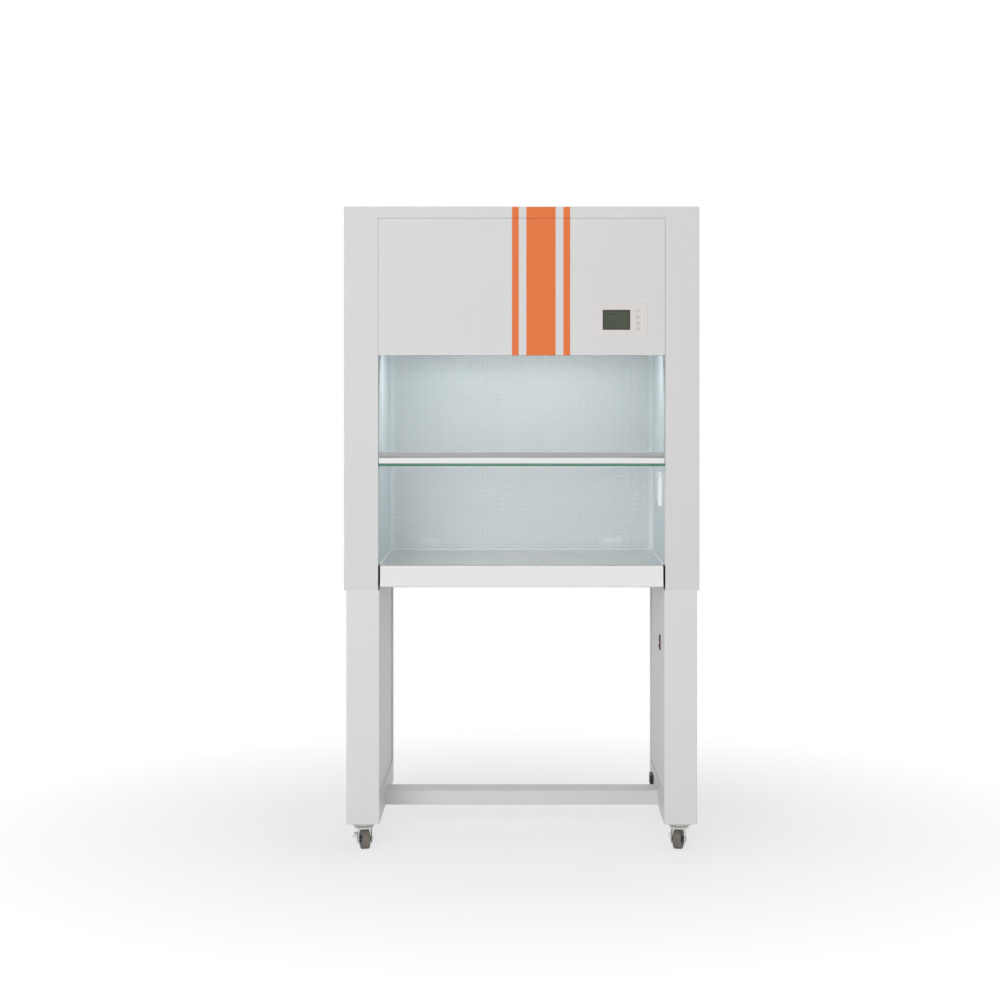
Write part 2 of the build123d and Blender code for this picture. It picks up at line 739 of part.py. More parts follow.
with BuildPart() as sash_handle:
    handle_half = opening_half - 2 * sheet
    handle_bottom = glass_bottom + handle_edge
    grip_top = handle_bottom + handle_height / 2
    with BuildSketch(Plane.YZ.offset(-handle_half)) as handle_profile:
        with BuildLine():
            Polyline(
                (glass_y, handle_bottom + handle_height),
                (glass_y, handle_bottom),
                (glass_y - handle_depth, handle_bottom),
                (glass_y - handle_depth, grip_top),
            )
            ThreePointArc(
                (glass_y - handle_depth, grip_top),
                (glass_y - handle_depth * 0.45, grip_top + handle_height * 0.16),
                (glass_y - handle_depth * 0.3, handle_bottom + handle_height),
            )
            Line((glass_y - handle_depth * 0.3, handle_bottom + handle_height),
                 (glass_y, handle_bottom + handle_height))
        make_face()
        fillet(handle_profile.vertices().group_by(Axis.X)[0], handle_depth / 6)
    extrude(amount=2 * handle_half)
hand_in(sash_handle, "sash_handle")

hanger_top = glass_top - hanger_drop
wire_x = glass_half + hanger_thickness / 2 + fit / 2
with BuildPart() as sash_hangers:
    for side in sides.values():
        hanger_x = mirrored(side, opening_half + sheet + guide_width + fit,
                            glass_half + fit + hanger_thickness)
        hanger_y = (glass_y - guide_wall, glass_y + glass_thickness + guide_wall)
        block(hanger_x, hanger_y, (hanger_top - hanger_height, hanger_top))
        block(mirrored(side, opening_half, glass_half), (glass_y, glass_y + glass_thickness),
              (hanger_top - hanger_height, hanger_top), Mode.SUBTRACT)
    fillet(sash_hangers.edges().filter_by(Axis.Z).group_by(Axis.X)[0], bend / 2)
    fillet(sash_hangers.edges().filter_by(Axis.Z).group_by(Axis.X)[-1], bend / 2)
hand_in(sash_hangers, "sash_hangers")

# Guides: two strips each side, fixed behind the pillars, that the glass runs between
guide_bottom = body_bottom + sheet + fit
guide_top = glass_top + sash_rise
with BuildPart() as sash_guides:
    for side in sides.values():
        guide_x = mirrored(side, opening_half + sheet, opening_half + sheet + guide_width)
        block(guide_x, (front + return_flange, guide_front + guide_wall), (guide_bottom, guide_top))
        block(guide_x, (guide_back, guide_back + guide_wall), (guide_bottom, guide_top))
        foot_x = mirrored(side, opening_half + sheet, half_width - sheet - fit)
        block(foot_x, (front + return_flange, guide_back + guide_wall),
              (guide_bottom, guide_bottom + guide_wall))
hand_in(sash_guides, "sash_guides")

# Pulleys high in the pillars, their brackets, the wires and the counterweights
pulley_x = wire_x + pulley_radius
pulley_z = body_top - pulley_top_gap
bracket_front = front + sheet
bracket_back = wire_y + pulley_width / 2 + fit + sheet
for side_name, side in sides.items():
    with BuildPart() as pulley:
        with BuildSketch(Plane.XZ.offset(-wire_y + pulley_width / 2)):
            with Locations((side * pulley_x, pulley_z)):
                Circle(pulley_radius + pulley_rim)
        extrude(amount=-pulley_width)
        with BuildSketch(Plane.XZ.offset(-wire_y + 1.5 * wire_radius)):
            with Locations((side * pulley_x, pulley_z)):
                Circle(pulley_radius + 2 * pulley_rim)
                Circle(pulley_radius - wire_radius - fit, mode=Mode.SUBTRACT)
        extrude(amount=-3 * wire_radius, mode=Mode.SUBTRACT)
        with Locations((side * pulley_x, wire_y, pulley_z)):
            Cylinder(pulley_axle + running, 2 * pulley_width, rotation=(90, 0, 0), mode=Mode.SUBTRACT)
    hand_in(pulley, f"pulley_{side_name}")

    with BuildPart() as counterweight:
        weight_x = side * (pulley_x + pulley_radius)
        weight_z = body_bottom + sheet + weight_floor_gap + sash_rise
        with BuildSketch(Plane.XY.offset(weight_z)):
            with Locations((weight_x, wire_y)):
                RectangleRounded(weight_width, weight_depth, bend)
        extrude(amount=weight_length)
        with Locations((weight_x, wire_y, weight_z + weight_length)):
            Cylinder(wire_radius + fit, 4 * weight_width, mode=Mode.SUBTRACT)
    hand_in(counterweight, f"counterweight_{side_name}")

with BuildPart() as pulley_brackets:
    for side in sides.values():
        arm_x = mirrored(side, pulley_x - pulley_radius / 2, half_width - sheet - bend)
        arm_z = (pulley_z - pulley_radius / 2, pulley_z + pulley_radius + pulley_rim + 2 * sheet)
        block(arm_x, (bracket_back - sheet, bracket_back), arm_z)
        block(arm_x, (bracket_front, bracket_front + sheet), arm_z)
        block(arm_x, (bracket_front, bracket_back), (arm_z[1] - sheet, arm_z[1]))
        with BuildSketch(Plane.XZ.offset(-bracket_front)):
            with Locations((side * pulley_x, pulley_z)):
                Circle(pulley_axle)
        extrude(amount=-(bracket_back - bracket_front))
hand_in(pulley_brackets, "pulley_brackets")

with BuildPart() as sash_wires:
    weight_top = body_bottom + sheet + weight_floor_gap + sash_rise + weight_length
    for side in sides.values():
        with BuildLine() as wire_line:
            Line((side * wire_x, wire_y, hanger_top + fit), (side * wire_x, wire_y, pulley_z))
            ThreePointArc(
                (side * wire_x, wire_y, pulley_z),
                (side * pulley_x, wire_y, pulley_z + pulley_radius),
                (side * (pulley_x + pulley_radius), wire_y, pulley_z),
            )
            Line((side * (pulley_x + pulley_radius), wire_y, pulley_z),
                 (side * (pulley_x + pulley_radius), wire_y, weight_top - weight_width))
        with BuildSketch(Plane((side * wire_x, wire_y, hanger_top + fit))):
            RegularPolygon(wire_radius, 6)
        sweep(path=wire_line.wire())
hand_in(sash_wires, "sash_wires")

# Controller in the head panel: housing with a bezel, screen window and keys
with BuildPart() as controller_housing:
    bezel_y = front - bezel_thickness
    body_plane = Plane.XZ.offset(-front)
    with BuildSketch(Plane.XZ.offset(-bezel_y)):
        with Locations((controller_x, controller_z)):
            RectangleRounded(controller_width, controller_height, controller_radius)
    extrude(amount=-bezel_thickness)
    with BuildSketch(body_plane):
        with Locations((controller_x, controller_z)):
            Rectangle(controller_width - 2 * housing_margin, controller_height - 2 * housing_margin)
    extrude(amount=-housing_depth)
    chamfer(controller_housing.edges().group_by(Axis.Y)[0], bezel_thickness / 3)
    with BuildSketch(Plane.XZ.offset(-(front + housing_wall))):
        with Locations((controller_x, controller_z)):
            Rectangle(controller_width - 2 * housing_margin - 2 * housing_wall,
                      controller_height - 2 * housing_margin - 2 * housing_wall)
    extrude(amount=-housing_depth, mode=Mode.SUBTRACT)
    with BuildSketch(Plane.XZ.offset(-bezel_y)):
        with Locations((controller_x - screen_offset, controller_z)):
            Rectangle(screen_width, screen_height)
        with Locations((controller_x + key_offset, controller_z)):
            with GridLocations(key_width, key_pitch, 1, key_count):
                Rectangle(key_width + 2 * key_gap, key_height + 2 * key_gap)
    extrude(amount=-housing_depth, mode=Mode.SUBTRACT)
hand_in(controller_housing, "controller_housing")

with BuildPart() as lcd_window:
    with BuildSketch(Plane.XZ.offset(-(front - bezel_thickness + fit))):
        with Locations((controller_x - screen_offset, controller_z)):
            Rectangle(screen_width - fit, screen_height - fit)
    extrude(amount=-(bezel_thickness + housing_wall))
hand_in(lcd_window, "lcd_window")

key_y = front - bezel_thickness - key_proud
for key_number in range(key_count):
    with BuildPart() as key:
        key_z = controller_z + key_pitch * ((key_count - 1) / 2 - key_number)
        with BuildSketch(Plane.XZ.offset(-key_y)):
            with Locations((controller_x + key_offset, key_z)):
                Rectangle(key_width, key_height)
        extrude(amount=-key_depth)
        chamfer(key.edges().group_by(Axis.Y)[0], key_proud)
    hand_in(key, f"key_{key_number + 1}")

# Socket on the right liner: face plate with pin slots, and its box behind the wall
flat_pair = [(end * slot_offset, flat_pair_rise, 0) for end in (-1, 1)]
slanted_pair = [(end * slot_offset, -slanted_pair_drop, end * slot_slant) for end in (-1, 1)]
earth_slot = (0, -earth_drop, 0)
with BuildPart() as power_socket:
    with BuildSketch(Plane.YZ.offset(opening_half)):
        with Locations((socket_y, socket_z)):
            Rectangle(socket_size, socket_size)
    extrude(amount=-socket_thickness)
    chamfer(power_socket.edges().group_by(Axis.X)[0], socket_thickness / 4)
    with BuildSketch(Plane.YZ.offset(opening_half)):
        with Locations((socket_y, socket_z)):
            Rectangle(socket_box, socket_box)
    extrude(amount=socket_box_depth)
    with BuildSketch(Plane.YZ.offset(opening_half - socket_thickness)):
        for offset_y, offset_z, slant in (*flat_pair, *slanted_pair, earth_slot):
            with Locations((socket_y + offset_y, socket_z + offset_z)):
                Rectangle(slot_width, slot_length, rotation=slant)
    extrude(amount=1.5 * socket_thickness, mode=Mode.SUBTRACT)
hand_in(power_socket, "power_socket")

# Switch on the inner side of the right stand: bezel, body and a red rocker on its pin
rocker_face = stand_inner + panel_recess
pin_x = rocker_face + 2 * rocker_pin
with BuildPart() as switch_housing:
    with BuildSketch(Plane.YZ.offset(rocker_face)):
        with Locations((rocker_y, rocker_z)):
            Rectangle(rocker_bezel_width, rocker_bezel_height)
    extrude(amount=-rocker_bezel_proud)
    chamfer(switch_housing.edges().group_by(Axis.X)[0], rocker_bezel_proud / 3)
    with BuildSketch(Plane.YZ.offset(rocker_face)):
        with Locations((rocker_y, rocker_z)):
            Rectangle(rocker_width + 2 * rocker_wall - fit, rocker_height + 2 * rocker_wall - fit)
    extrude(amount=rocker_body_depth)
    with BuildSketch(Plane.YZ.offset(rocker_face - rocker_bezel_proud)):
        with Locations((rocker_y, rocker_z)):
            Rectangle(rocker_width, rocker_height)
    extrude(amount=rocker_bezel_proud + rocker_body_depth - 2 * sheet, mode=Mode.SUBTRACT)
    with BuildSketch(Plane.XZ.offset(-(rocker_y - rocker_width / 2 - sheet))):
        with Locations((pin_x, rocker_z)):
            Circle(rocker_pin)
    extrude(amount=-(rocker_width + 2 * sheet))
hand_in(switch_housing, "switch_housing")

with BuildPart() as switch_rocker:
    tip_x = pin_x - rocker_reach
    tip_rise = rocker_height / 2 - rocker_tip_inset
    root_rise = rocker_height / 2 - rocker_root_inset
    with BuildSketch(Plane.XZ.offset(-(rocker_y - rocker_width / 2 + fit))):
        with BuildLine():
            ThreePointArc(
                (tip_x, rocker_z + tip_rise),
                (tip_x + rocker_dish, rocker_z),
                (tip_x, rocker_z - tip_rise),
            )
            Line((tip_x, rocker_z - tip_rise), (pin_x, rocker_z - root_rise))
            ThreePointArc(
                (pin_x, rocker_z - root_rise),
                (pin_x + rocker_belly, rocker_z),
                (pin_x, rocker_z + root_rise),
            )
            Line((pin_x, rocker_z + root_rise), (tip_x, rocker_z + tip_rise))
        make_face()
        with Locations((pin_x, rocker_z)):
            Circle(rocker_pin + running, mode=Mode.SUBTRACT)
    extrude(amount=-(rocker_width - 2 * fit))
switch_rocker.part = switch_rocker.part.rotate(Axis((pin_x, 0, rocker_z), (0, 1, 0)), rocker_tilt)
hand_in(switch_rocker, "switch_rocker")

# Mains inlet on the inner side of the right base rail
with BuildPart() as mains_inlet:
    with BuildSketch(Plane.YZ.offset(stand_inner)):
        with Locations((inlet_y, inlet_z)):
            Rectangle(inlet_length, inlet_height)
    extrude(amount=-inlet_proud)
    chamfer(mains_inlet.edges().group_by(Axis.X)[0], sheet / 2)
    with BuildSketch(Plane.YZ.offset(stand_inner - inlet_proud)):
        with Locations((inlet_y, inlet_z)):
            RectangleRounded(inlet_length / 2, inlet_height * 0.6, bend)
    extrude(amount=inlet_proud - sheet, mode=Mode.SUBTRACT)
    with BuildSketch(Plane.YZ.offset(stand_inner - sheet)):
        with Locations((inlet_y, inlet_z)):
            with GridLocations(inlet_pin_spacing, 1, 3, 1):
                Rectangle(inlet_pin_width, inlet_pin_height)
    extrude(amount=-(inlet_proud - 3 * sheet))
hand_in(mains_inlet, "mains_inlet")

# Casters: four swivel casters under the base rails, each turned a little differently
caster_x = (stand_inner + stand_outer) / 2
front_caster_y = front + front_caster_setback
rear_caster_y = stand_back - rear_caster_setback
caster_places = {
    "front_left": (-caster_x, front_caster_y),
    "front_right": (caster_x, front_caster_y),
    "rear_left": (-caster_x, rear_caster_y),
    "rear_right": (caster_x, rear_caster_y),
}
caster_turns = dict(zip(caster_places, (*front_turns, *rear_turns)))
plate_bottom = caster_height - mount_plate_thickness
race_bottom = plate_bottom - race_radius / 3
fork_top = race_bottom - fit
pin_head_top = fork_top - fork_wall - fit
fork_half = fork_outer / 2
pedal_pin_x = -fork_half - 2 * pedal_pin - seam
pedal_pin_z = wheel_radius + pedal_rise
pedal_y = -wheel_trail / 2

with BuildPart() as caster_plates:
    for x, y in caster_places.values():
        with BuildSketch(Plane.XY.offset(plate_bottom)):
            with Locations((x, y)):
                Rectangle(mount_plate, mount_plate)
        extrude(amount=mount_plate_thickness)
        with BuildSketch(Plane.XY.offset(race_bottom)):
            with Locations((x, y)):
                Circle(race_radius)
        extrude(amount=plate_bottom - race_bottom)
        with BuildSketch(Plane.XY.offset(pin_head_top)):
            with Locations((x, y)):
                Circle(kingpin_radius)
        extrude(amount=race_bottom - pin_head_top)
        with BuildSketch(Plane.XY.offset(pin_head_top)):
            with Locations((x, y)):
                RegularPolygon(1.6 * kingpin_radius, 6)
        extrude(amount=-fork_wall)
hand_in(caster_plates, "caster_plates")

# Screws: one row down each back flange, and four under each caster plate
with BuildPart() as screws:
    screw_x = half_width - panel_flange / 2 - sheet / 2
    screw_pitch = (back_flange_top - back_panel_bottom - 4 * panel_flange) / (screw_rows - 1)
    with BuildSketch(Plane.XZ.offset(-back)):
        with Locations((0, (back_flange_top + back_panel_bottom) / 2)):
            with GridLocations(2 * screw_x, screw_pitch, 2, screw_rows):
                RegularPolygon(screw_head_radius, 6)
    extrude(amount=-screw_head_height)
    for x, y in caster_places.values():
        with BuildSketch(Plane.XY.offset(plate_bottom)):
            with Locations((x, y)):
                with GridLocations(mount_screw_spacing, mount_screw_spacing, 2, 2):
                    RegularPolygon(screw_head_radius, 6)
        extrude(amount=-screw_head_height)
hand_in(screws, "machine_screws")

for caster_name, (x, y) in caster_places.items():
    turn = caster_turns[caster_name]
    with BuildPart() as fork:
        with BuildSketch(Plane.YZ):
            with BuildLine():
                cheek_top = fork_top - fork_nose_drop
                cheek_z = wheel_radius + fork_cheek_rise
                cheek_foot = wheel_radius - 3 * axle_radius
                Polyline(
                    (0.8 * hood_radius, fork_top),
                    (-0.8 * hood_radius, fork_top),
                    (-wheel_trail - 3 * axle_radius, cheek_z),
                    (-wheel_trail - 2 * axle_radius, cheek_foot + axle_radius),
                    (-wheel_trail - axle_radius, cheek_foot),
                    (-wheel_trail + axle_radius, cheek_foot),
                    (-wheel_trail + 2 * axle_radius, cheek_foot + axle_radius),
                    (-wheel_trail + 3 * axle_radius, cheek_z),
                    (0.8 * hood_radius, cheek_top),
                    close=True,
                )
            make_face()
        extrude(amount=fork_half, both=True)
        block((fork_wall - fork_half, fork_half - fork_wall), (-2 * hood_radius, 2 * hood_radius),
              (0, fork_top - fork_wall), Mode.SUBTRACT)
        with BuildSketch(Plane.XY.offset(fork_top)):
            Circle(hood_radius)
        extrude(amount=-hood_height)
        with BuildSketch(Plane.XY.offset(fork_top - fork_wall)):
            Circle(hood_radius - fork_wall / 2)
        extrude(amount=-hood_height, mode=Mode.SUBTRACT)
        for end in (-1, 1):
            block(mirrored(end, fork_half - fork_wall, fork_half), (-hood_radius / 2, hood_radius / 2),
                  (fork_top - fork_nose_drop, fork_top - fork_wall))
        with BuildSketch(Plane.XY.offset(fork_top)):
            Circle(kingpin_radius + running)
        extrude(amount=-fork_wall, mode=Mode.SUBTRACT)
        with BuildSketch(Plane.YZ.offset(-fork_half)):
            with Locations((-wheel_trail, wheel_radius)):
                Circle(axle_radius)
        extrude(amount=fork_outer)
        for end in (-1, 1):
            with BuildSketch(Plane.YZ.offset(end * (fork_half + fork_wall / 2))):
                with Locations((-wheel_trail, wheel_radius)):
                    RegularPolygon(1.6 * axle_radius, 6)
            extrude(amount=fork_wall / 2, both=True)
        if caster_name.startswith("front"):
            for lug_y in (pedal_y - fit - pedal_thickness, pedal_y + pedal_width + fit):
                block((pedal_pin_x - pedal_pin, -fork_half), (lug_y, lug_y + pedal_thickness),
                      (pedal_pin_z - 2 * pedal_pin, pedal_pin_z + 2 * pedal_pin))
            with BuildSketch(Plane.XZ.offset(-pedal_y + pedal_thickness)):
                with Locations((pedal_pin_x, pedal_pin_z)):
                    Circle(pedal_pin)
            extrude(amount=-(pedal_width + 2 * pedal_thickness))
    fork.part = fork.part.rotate(Axis.Z, turn).moved(Location((x, y, 0)))
    hand_in(fork, f"caster_fork_{caster_name}")

    with BuildPart() as wheel:
        hub_length = fork_half - fork_wall - fit
        with BuildSketch(Plane.XZ):
            with BuildLine():
                Polyline(
                    (0, axle_radius + running),
                    (hub_length, axle_radius + running),
                    (hub_length, wheel_hub_radius),
                    (wheel_width / 2, wheel_dish_radius),
                    (wheel_width / 2, wheel_radius - tyre_chamfer),
                    (wheel_width / 2 - tyre_chamfer, wheel_radius),
                    (0, wheel_radius),
                    close=True,
                )
            make_face()
            mirror(about=Plane.YZ)
        revolve(axis=Axis.X)
    wheel.part = wheel.part.moved(Location((0, -wheel_trail, wheel_radius)))
    wheel.part = wheel.part.rotate(Axis.Z, turn).moved(Location((x, y, 0)))
    hand_in(wheel, f"caster_wheel_{caster_name}")

    if caster_name.startswith("front"):
        with BuildPart() as pedal:
            with BuildSketch(Plane.XZ.offset(-pedal_y)):
                with BuildLine():
                    FilletPolyline(
                        (pedal_pin_x, pedal_pin_z),
                        (pedal_pin_x - pedal_thickness, pedal_pin_z - 3 * pedal_pin),
                        (pedal_pin_x - pedal_reach, wheel_radius + pedal_thickness),
                        (pedal_pin_x - pedal_reach - pedal_thickness, wheel_radius + 2 * pedal_thickness),
                        radius=pedal_thickness,
                    )
                trace(line_width=pedal_thickness)
                with Locations((pedal_pin_x, pedal_pin_z)):
                    Circle(2 * pedal_pin)
                    Circle(pedal_pin + running, mode=Mode.SUBTRACT)
            extrude(amount=-pedal_width)
        pedal.part = pedal.part.rotate(Axis.Z, turn).moved(Location((x, y, 0)))
        hand_in(pedal, f"brake_pedal_{caster_name}")
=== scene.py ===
"""Looks of a laminar flow cabinet, built around its packed frame. All sizes are in metres.

Each step is an operator: the finishes of the frame, the perforated wall, the beads, the casters, the wall
socket, the controller's details and the stage. Pieces ride on the bodies of the frame."""

import json
from contextlib import contextmanager
from math import cos, pi, radians, sin

import bmesh
import bpy
from bpy.props import FloatProperty, FloatVectorProperty, IntProperty, PointerProperty
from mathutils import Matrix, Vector


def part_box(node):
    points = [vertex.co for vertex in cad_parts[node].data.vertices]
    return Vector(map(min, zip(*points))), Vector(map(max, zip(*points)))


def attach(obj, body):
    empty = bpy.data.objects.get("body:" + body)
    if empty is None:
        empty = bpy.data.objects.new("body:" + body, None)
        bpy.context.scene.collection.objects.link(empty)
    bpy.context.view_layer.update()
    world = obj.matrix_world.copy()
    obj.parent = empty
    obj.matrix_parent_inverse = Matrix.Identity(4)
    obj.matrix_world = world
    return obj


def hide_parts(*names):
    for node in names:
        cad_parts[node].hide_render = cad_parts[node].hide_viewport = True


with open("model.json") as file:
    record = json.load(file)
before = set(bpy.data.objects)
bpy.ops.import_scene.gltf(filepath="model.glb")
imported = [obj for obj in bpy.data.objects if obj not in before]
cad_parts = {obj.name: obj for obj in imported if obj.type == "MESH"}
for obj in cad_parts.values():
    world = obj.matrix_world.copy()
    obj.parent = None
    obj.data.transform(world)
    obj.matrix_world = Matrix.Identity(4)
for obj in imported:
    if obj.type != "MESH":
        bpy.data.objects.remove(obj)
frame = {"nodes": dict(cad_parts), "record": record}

bl_info = {
    "name": "Laminar flow cabinet",
    "version": (1, 0, 0),
    "blender": (4, 5, 0),
    "location": "View3D > Sidebar > Cabinet",
    "description": "Dresses the packed frame of a laminar flow cabinet",
    "category": "Add Mesh",
}

MM = 0.001
CHAMBER_HALF = 364 * MM
CASTER_TURNS = {"front_left": 14.0, "front_right": -16.0, "rear_left": -35.0, "rear_right": 28.0}


# Modelling by hand, in code

def mm(x, y, z):
    """A point or a way given in millimetres."""
    return Vector((x, y, z)) * MM


def only(piece):
    """Make one piece the selected and active one."""
    bpy.ops.object.select_all(action="DESELECT")
    piece.select_set(True)
    bpy.context.view_layer.objects.active = piece
    return piece


def settle(piece):
    """Apply a piece's modifiers, place and turn to its mesh."""
    only(piece)
    for modifier in list(piece.modifiers):
        bpy.ops.object.modifier_apply(modifier=modifier.name)
    bpy.ops.object.transform_apply(location=True, rotation=True, scale=True)
    return piece


def named(name):
    """Name the primitive that was just added, and put its place into its mesh."""
    piece = bpy.context.active_object
    piece.name = name
    piece.data.name = name
    return settle(piece)


def block(name, low, high):
    """Add a cube that lies between two corners."""
    low, high = Vector(low), Vector(high)
    bpy.ops.object.select_all(action="DESELECT")
    bpy.ops.mesh.primitive_cube_add(size=1, location=(low + high) / 2, scale=high - low)
    return named(name)


def rod(name, start, way, length, radius, sides=32):
    """Add a cylinder that starts at a point and runs along a way."""
    way = Vector(way).normalized()
    bpy.ops.object.select_all(action="DESELECT")
    bpy.ops.mesh.primitive_cylinder_add(
        vertices=sides, radius=radius, depth=length, location=Vector(start) + way * length / 2,
        rotation=way.to_track_quat("Z", "Y").to_euler())
    return named(name)


@contextmanager
def editing(piece, kind="FACE"):
    """Edit one piece, with nothing selected at first."""
    only(piece)
    bpy.ops.object.mode_set(mode="EDIT")
    bpy.ops.mesh.select_mode(type=kind)
    bpy.ops.mesh.select_all(action="DESELECT")
    yield
    bpy.ops.object.mode_set(mode="OBJECT")


def pick(piece, test):
    """Select the faces, or the edges, whose middle and direction pass a test."""
    bpy.ops.mesh.select_all(action="DESELECT")
    mesh = bmesh.from_edit_mesh(piece.data)
    if bpy.context.tool_settings.mesh_select_mode[2]:
        parts = [(face, face.calc_center_median(), face.normal) for face in mesh.faces]
    else:
        parts = [(edge, (edge.verts[0].co + edge.verts[1].co) / 2,
                  (edge.verts[1].co - edge.verts[0].co).normalized()) for edge in mesh.edges]
    for part, middle, way in parts:
        if test(middle, way):
            part.select_set(True)
    bmesh.update_edit_mesh(piece.data)


def round_edges(piece, width, steps=2, angle=30.0):
    """Round every edge that is sharper than an angle."""
    bevel = piece.modifiers.new("Bevel", "BEVEL")
    bevel.width = width
    bevel.segments = steps
    bevel.limit_method = "ANGLE"
    bevel.angle_limit = radians(angle)
    return settle(piece)


def soft_block(name, low, high, width, steps=2):
    """Add a block with rounded edges."""
    return round_edges(block(name, low, high), width, steps)


def trim(piece, point, normal, fill=True):
    """Cut off all that lies past a plane."""
    with editing(piece):
        bpy.ops.mesh.select_all(action="SELECT")
        bpy.ops.mesh.bisect(plane_co=point, plane_no=normal, use_fill=fill, clear_outer=True)
    return piece


def joined(name, *pieces):
    """Join several pieces into the first one."""
    only(pieces[0])
    for piece in pieces[1:]:
        piece.select_set(True)
    if len(pieces) > 1:
        bpy.ops.object.join()
    pieces[0].name = name
    pieces[0].data.name = name
    return pieces[0]


def copied(piece, name, turn=0.0, place=(0, 0, 0)):
    """Copy a piece with its own mesh, turn it about Z and move it."""
    twin = piece.copy()
    twin.data = piece.data.copy()
    bpy.context.scene.collection.objects.link(twin)
    twin.name = name
    twin.data.name = name
    twin.rotation_euler = (0, 0, radians(turn))
    twin.location = place
    return settle(twin)


def cut(piece, *cutters):
    """Cut the shapes of other pieces out of a piece, and remove them."""
    for cutter in cutters:
        only(piece)
        boolean = piece.modifiers.new("Cut", "BOOLEAN")
        boolean.operation = "DIFFERENCE"
        boolean.solver = "EXACT"
        boolean.object = cutter
        bpy.ops.object.modifier_apply(modifier=boolean.name)
        bpy.data.objects.remove(cutter)
    return piece


def outward(piece):
    """Merge doubles and turn every face outwards."""
    with editing(piece):
        bpy.ops.mesh.select_all(action="SELECT")
        bpy.ops.mesh.remove_doubles(threshold=0.00001)
        bpy.ops.mesh.normals_make_consistent(inside=False)
    return piece


def fit_out(piece, body, materials, nodes=(), angle=35.0):
    """Shade a finished piece, give it its materials and let it ride on its body."""
    settle(piece)
    bpy.ops.object.shade_smooth_by_angle(angle=radians(angle))
    if not piece.data.materials:
        for material in materials:
            piece.data.materials.append(material)
    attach(piece, body)
    if nodes:
        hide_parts(*nodes)
    return piece


def paint_faces(piece, materials, choose):
    """Give each face of a piece the material whose number choose() returns for its middle."""
    piece.data.materials.clear()
    for material in materials:
        piece.data.materials.append(material)
    for face in piece.data.polygons:
        face.material_index = choose(face.center, face.normal)
    return piece


# Materials

class Value:
    """A number socket that takes part in plain arithmetic: each operator adds its Math node."""

    def __init__(self, tree, socket):
        self.tree = tree
        self.socket = socket

    def maths(self, operation, *values):
        made = self.tree.node("ShaderNodeMath", {"operation": operation}, dict(enumerate(values)))
        return Value(self.tree, made.outputs[0])

    def __add__(self, other):
        return self.maths("ADD", self, other)

    def __radd__(self, other):
        return self.maths("ADD", other, self)

    def __sub__(self, other):
        return self.maths("SUBTRACT", self, other)

    def __rsub__(self, other):
        return self.maths("SUBTRACT", other, self)

    def __mul__(self, other):
        return self.maths("MULTIPLY", self, other)

    def __rmul__(self, other):
        return self.maths("MULTIPLY", other, self)

    def __truediv__(self, other):
        return self.maths("DIVIDE", self, other)

    def __rtruediv__(self, other):
        return self.maths("DIVIDE", other, self)

    def __pow__(self, other):
        return self.maths("POWER", self, other)

    def __gt__(self, other):
        return self.maths("GREATER_THAN", self, other)

    def __lt__(self, other):
        return self.maths("LESS_THAN", self, other)

    def __abs__(self):
        return self.maths("ABSOLUTE", self)

    def within(self, low, high):
        return (self > low) * (self < high)

    def held(self):
        """The same value, kept between 0 and 1."""
        made = self.tree.node("ShaderNodeClamp", {}, {"Value": self})
        return Value(self.tree, made.outputs[0])


class Tree:
    """The node tree of a material or of the world, empty at first."""

    def __init__(self, owner):
        owner.use_nodes = True
        self.tree = owner.node_tree
        self.tree.nodes.clear()

    def node(self, kind, settings=None, inputs=None):
        """Add a node, set it up, and fill its sockets with values or links."""
        made = self.tree.nodes.new(kind)
        for key, value in (settings or {}).items():
            setattr(made, key, value)
        for key, value in (inputs or {}).items():
            self.feed(made.inputs[key], value)
        return made

    def feed(self, socket, value):
        """Link a socket, or set its value."""
        if isinstance(value, Value):
            value = value.socket
        if isinstance(value, bpy.types.NodeSocket):
            self.tree.links.new(value, socket)
        elif socket.type == "RGBA" and len(value) == 3:
            socket.default_value = (*value, 1.0)
        else:
            socket.default_value = value

    def seen(self):
        """1 for what the camera sees, straight, mirrored or through glass, and 0 for light."""
        rays = self.node("ShaderNodeLightPath").outputs
        kinds = ("Is Camera Ray", "Is Glossy Ray", "Is Transmission Ray")
        return sum((Value(self, rays[kind]) for kind in kinds), 0.0).held()


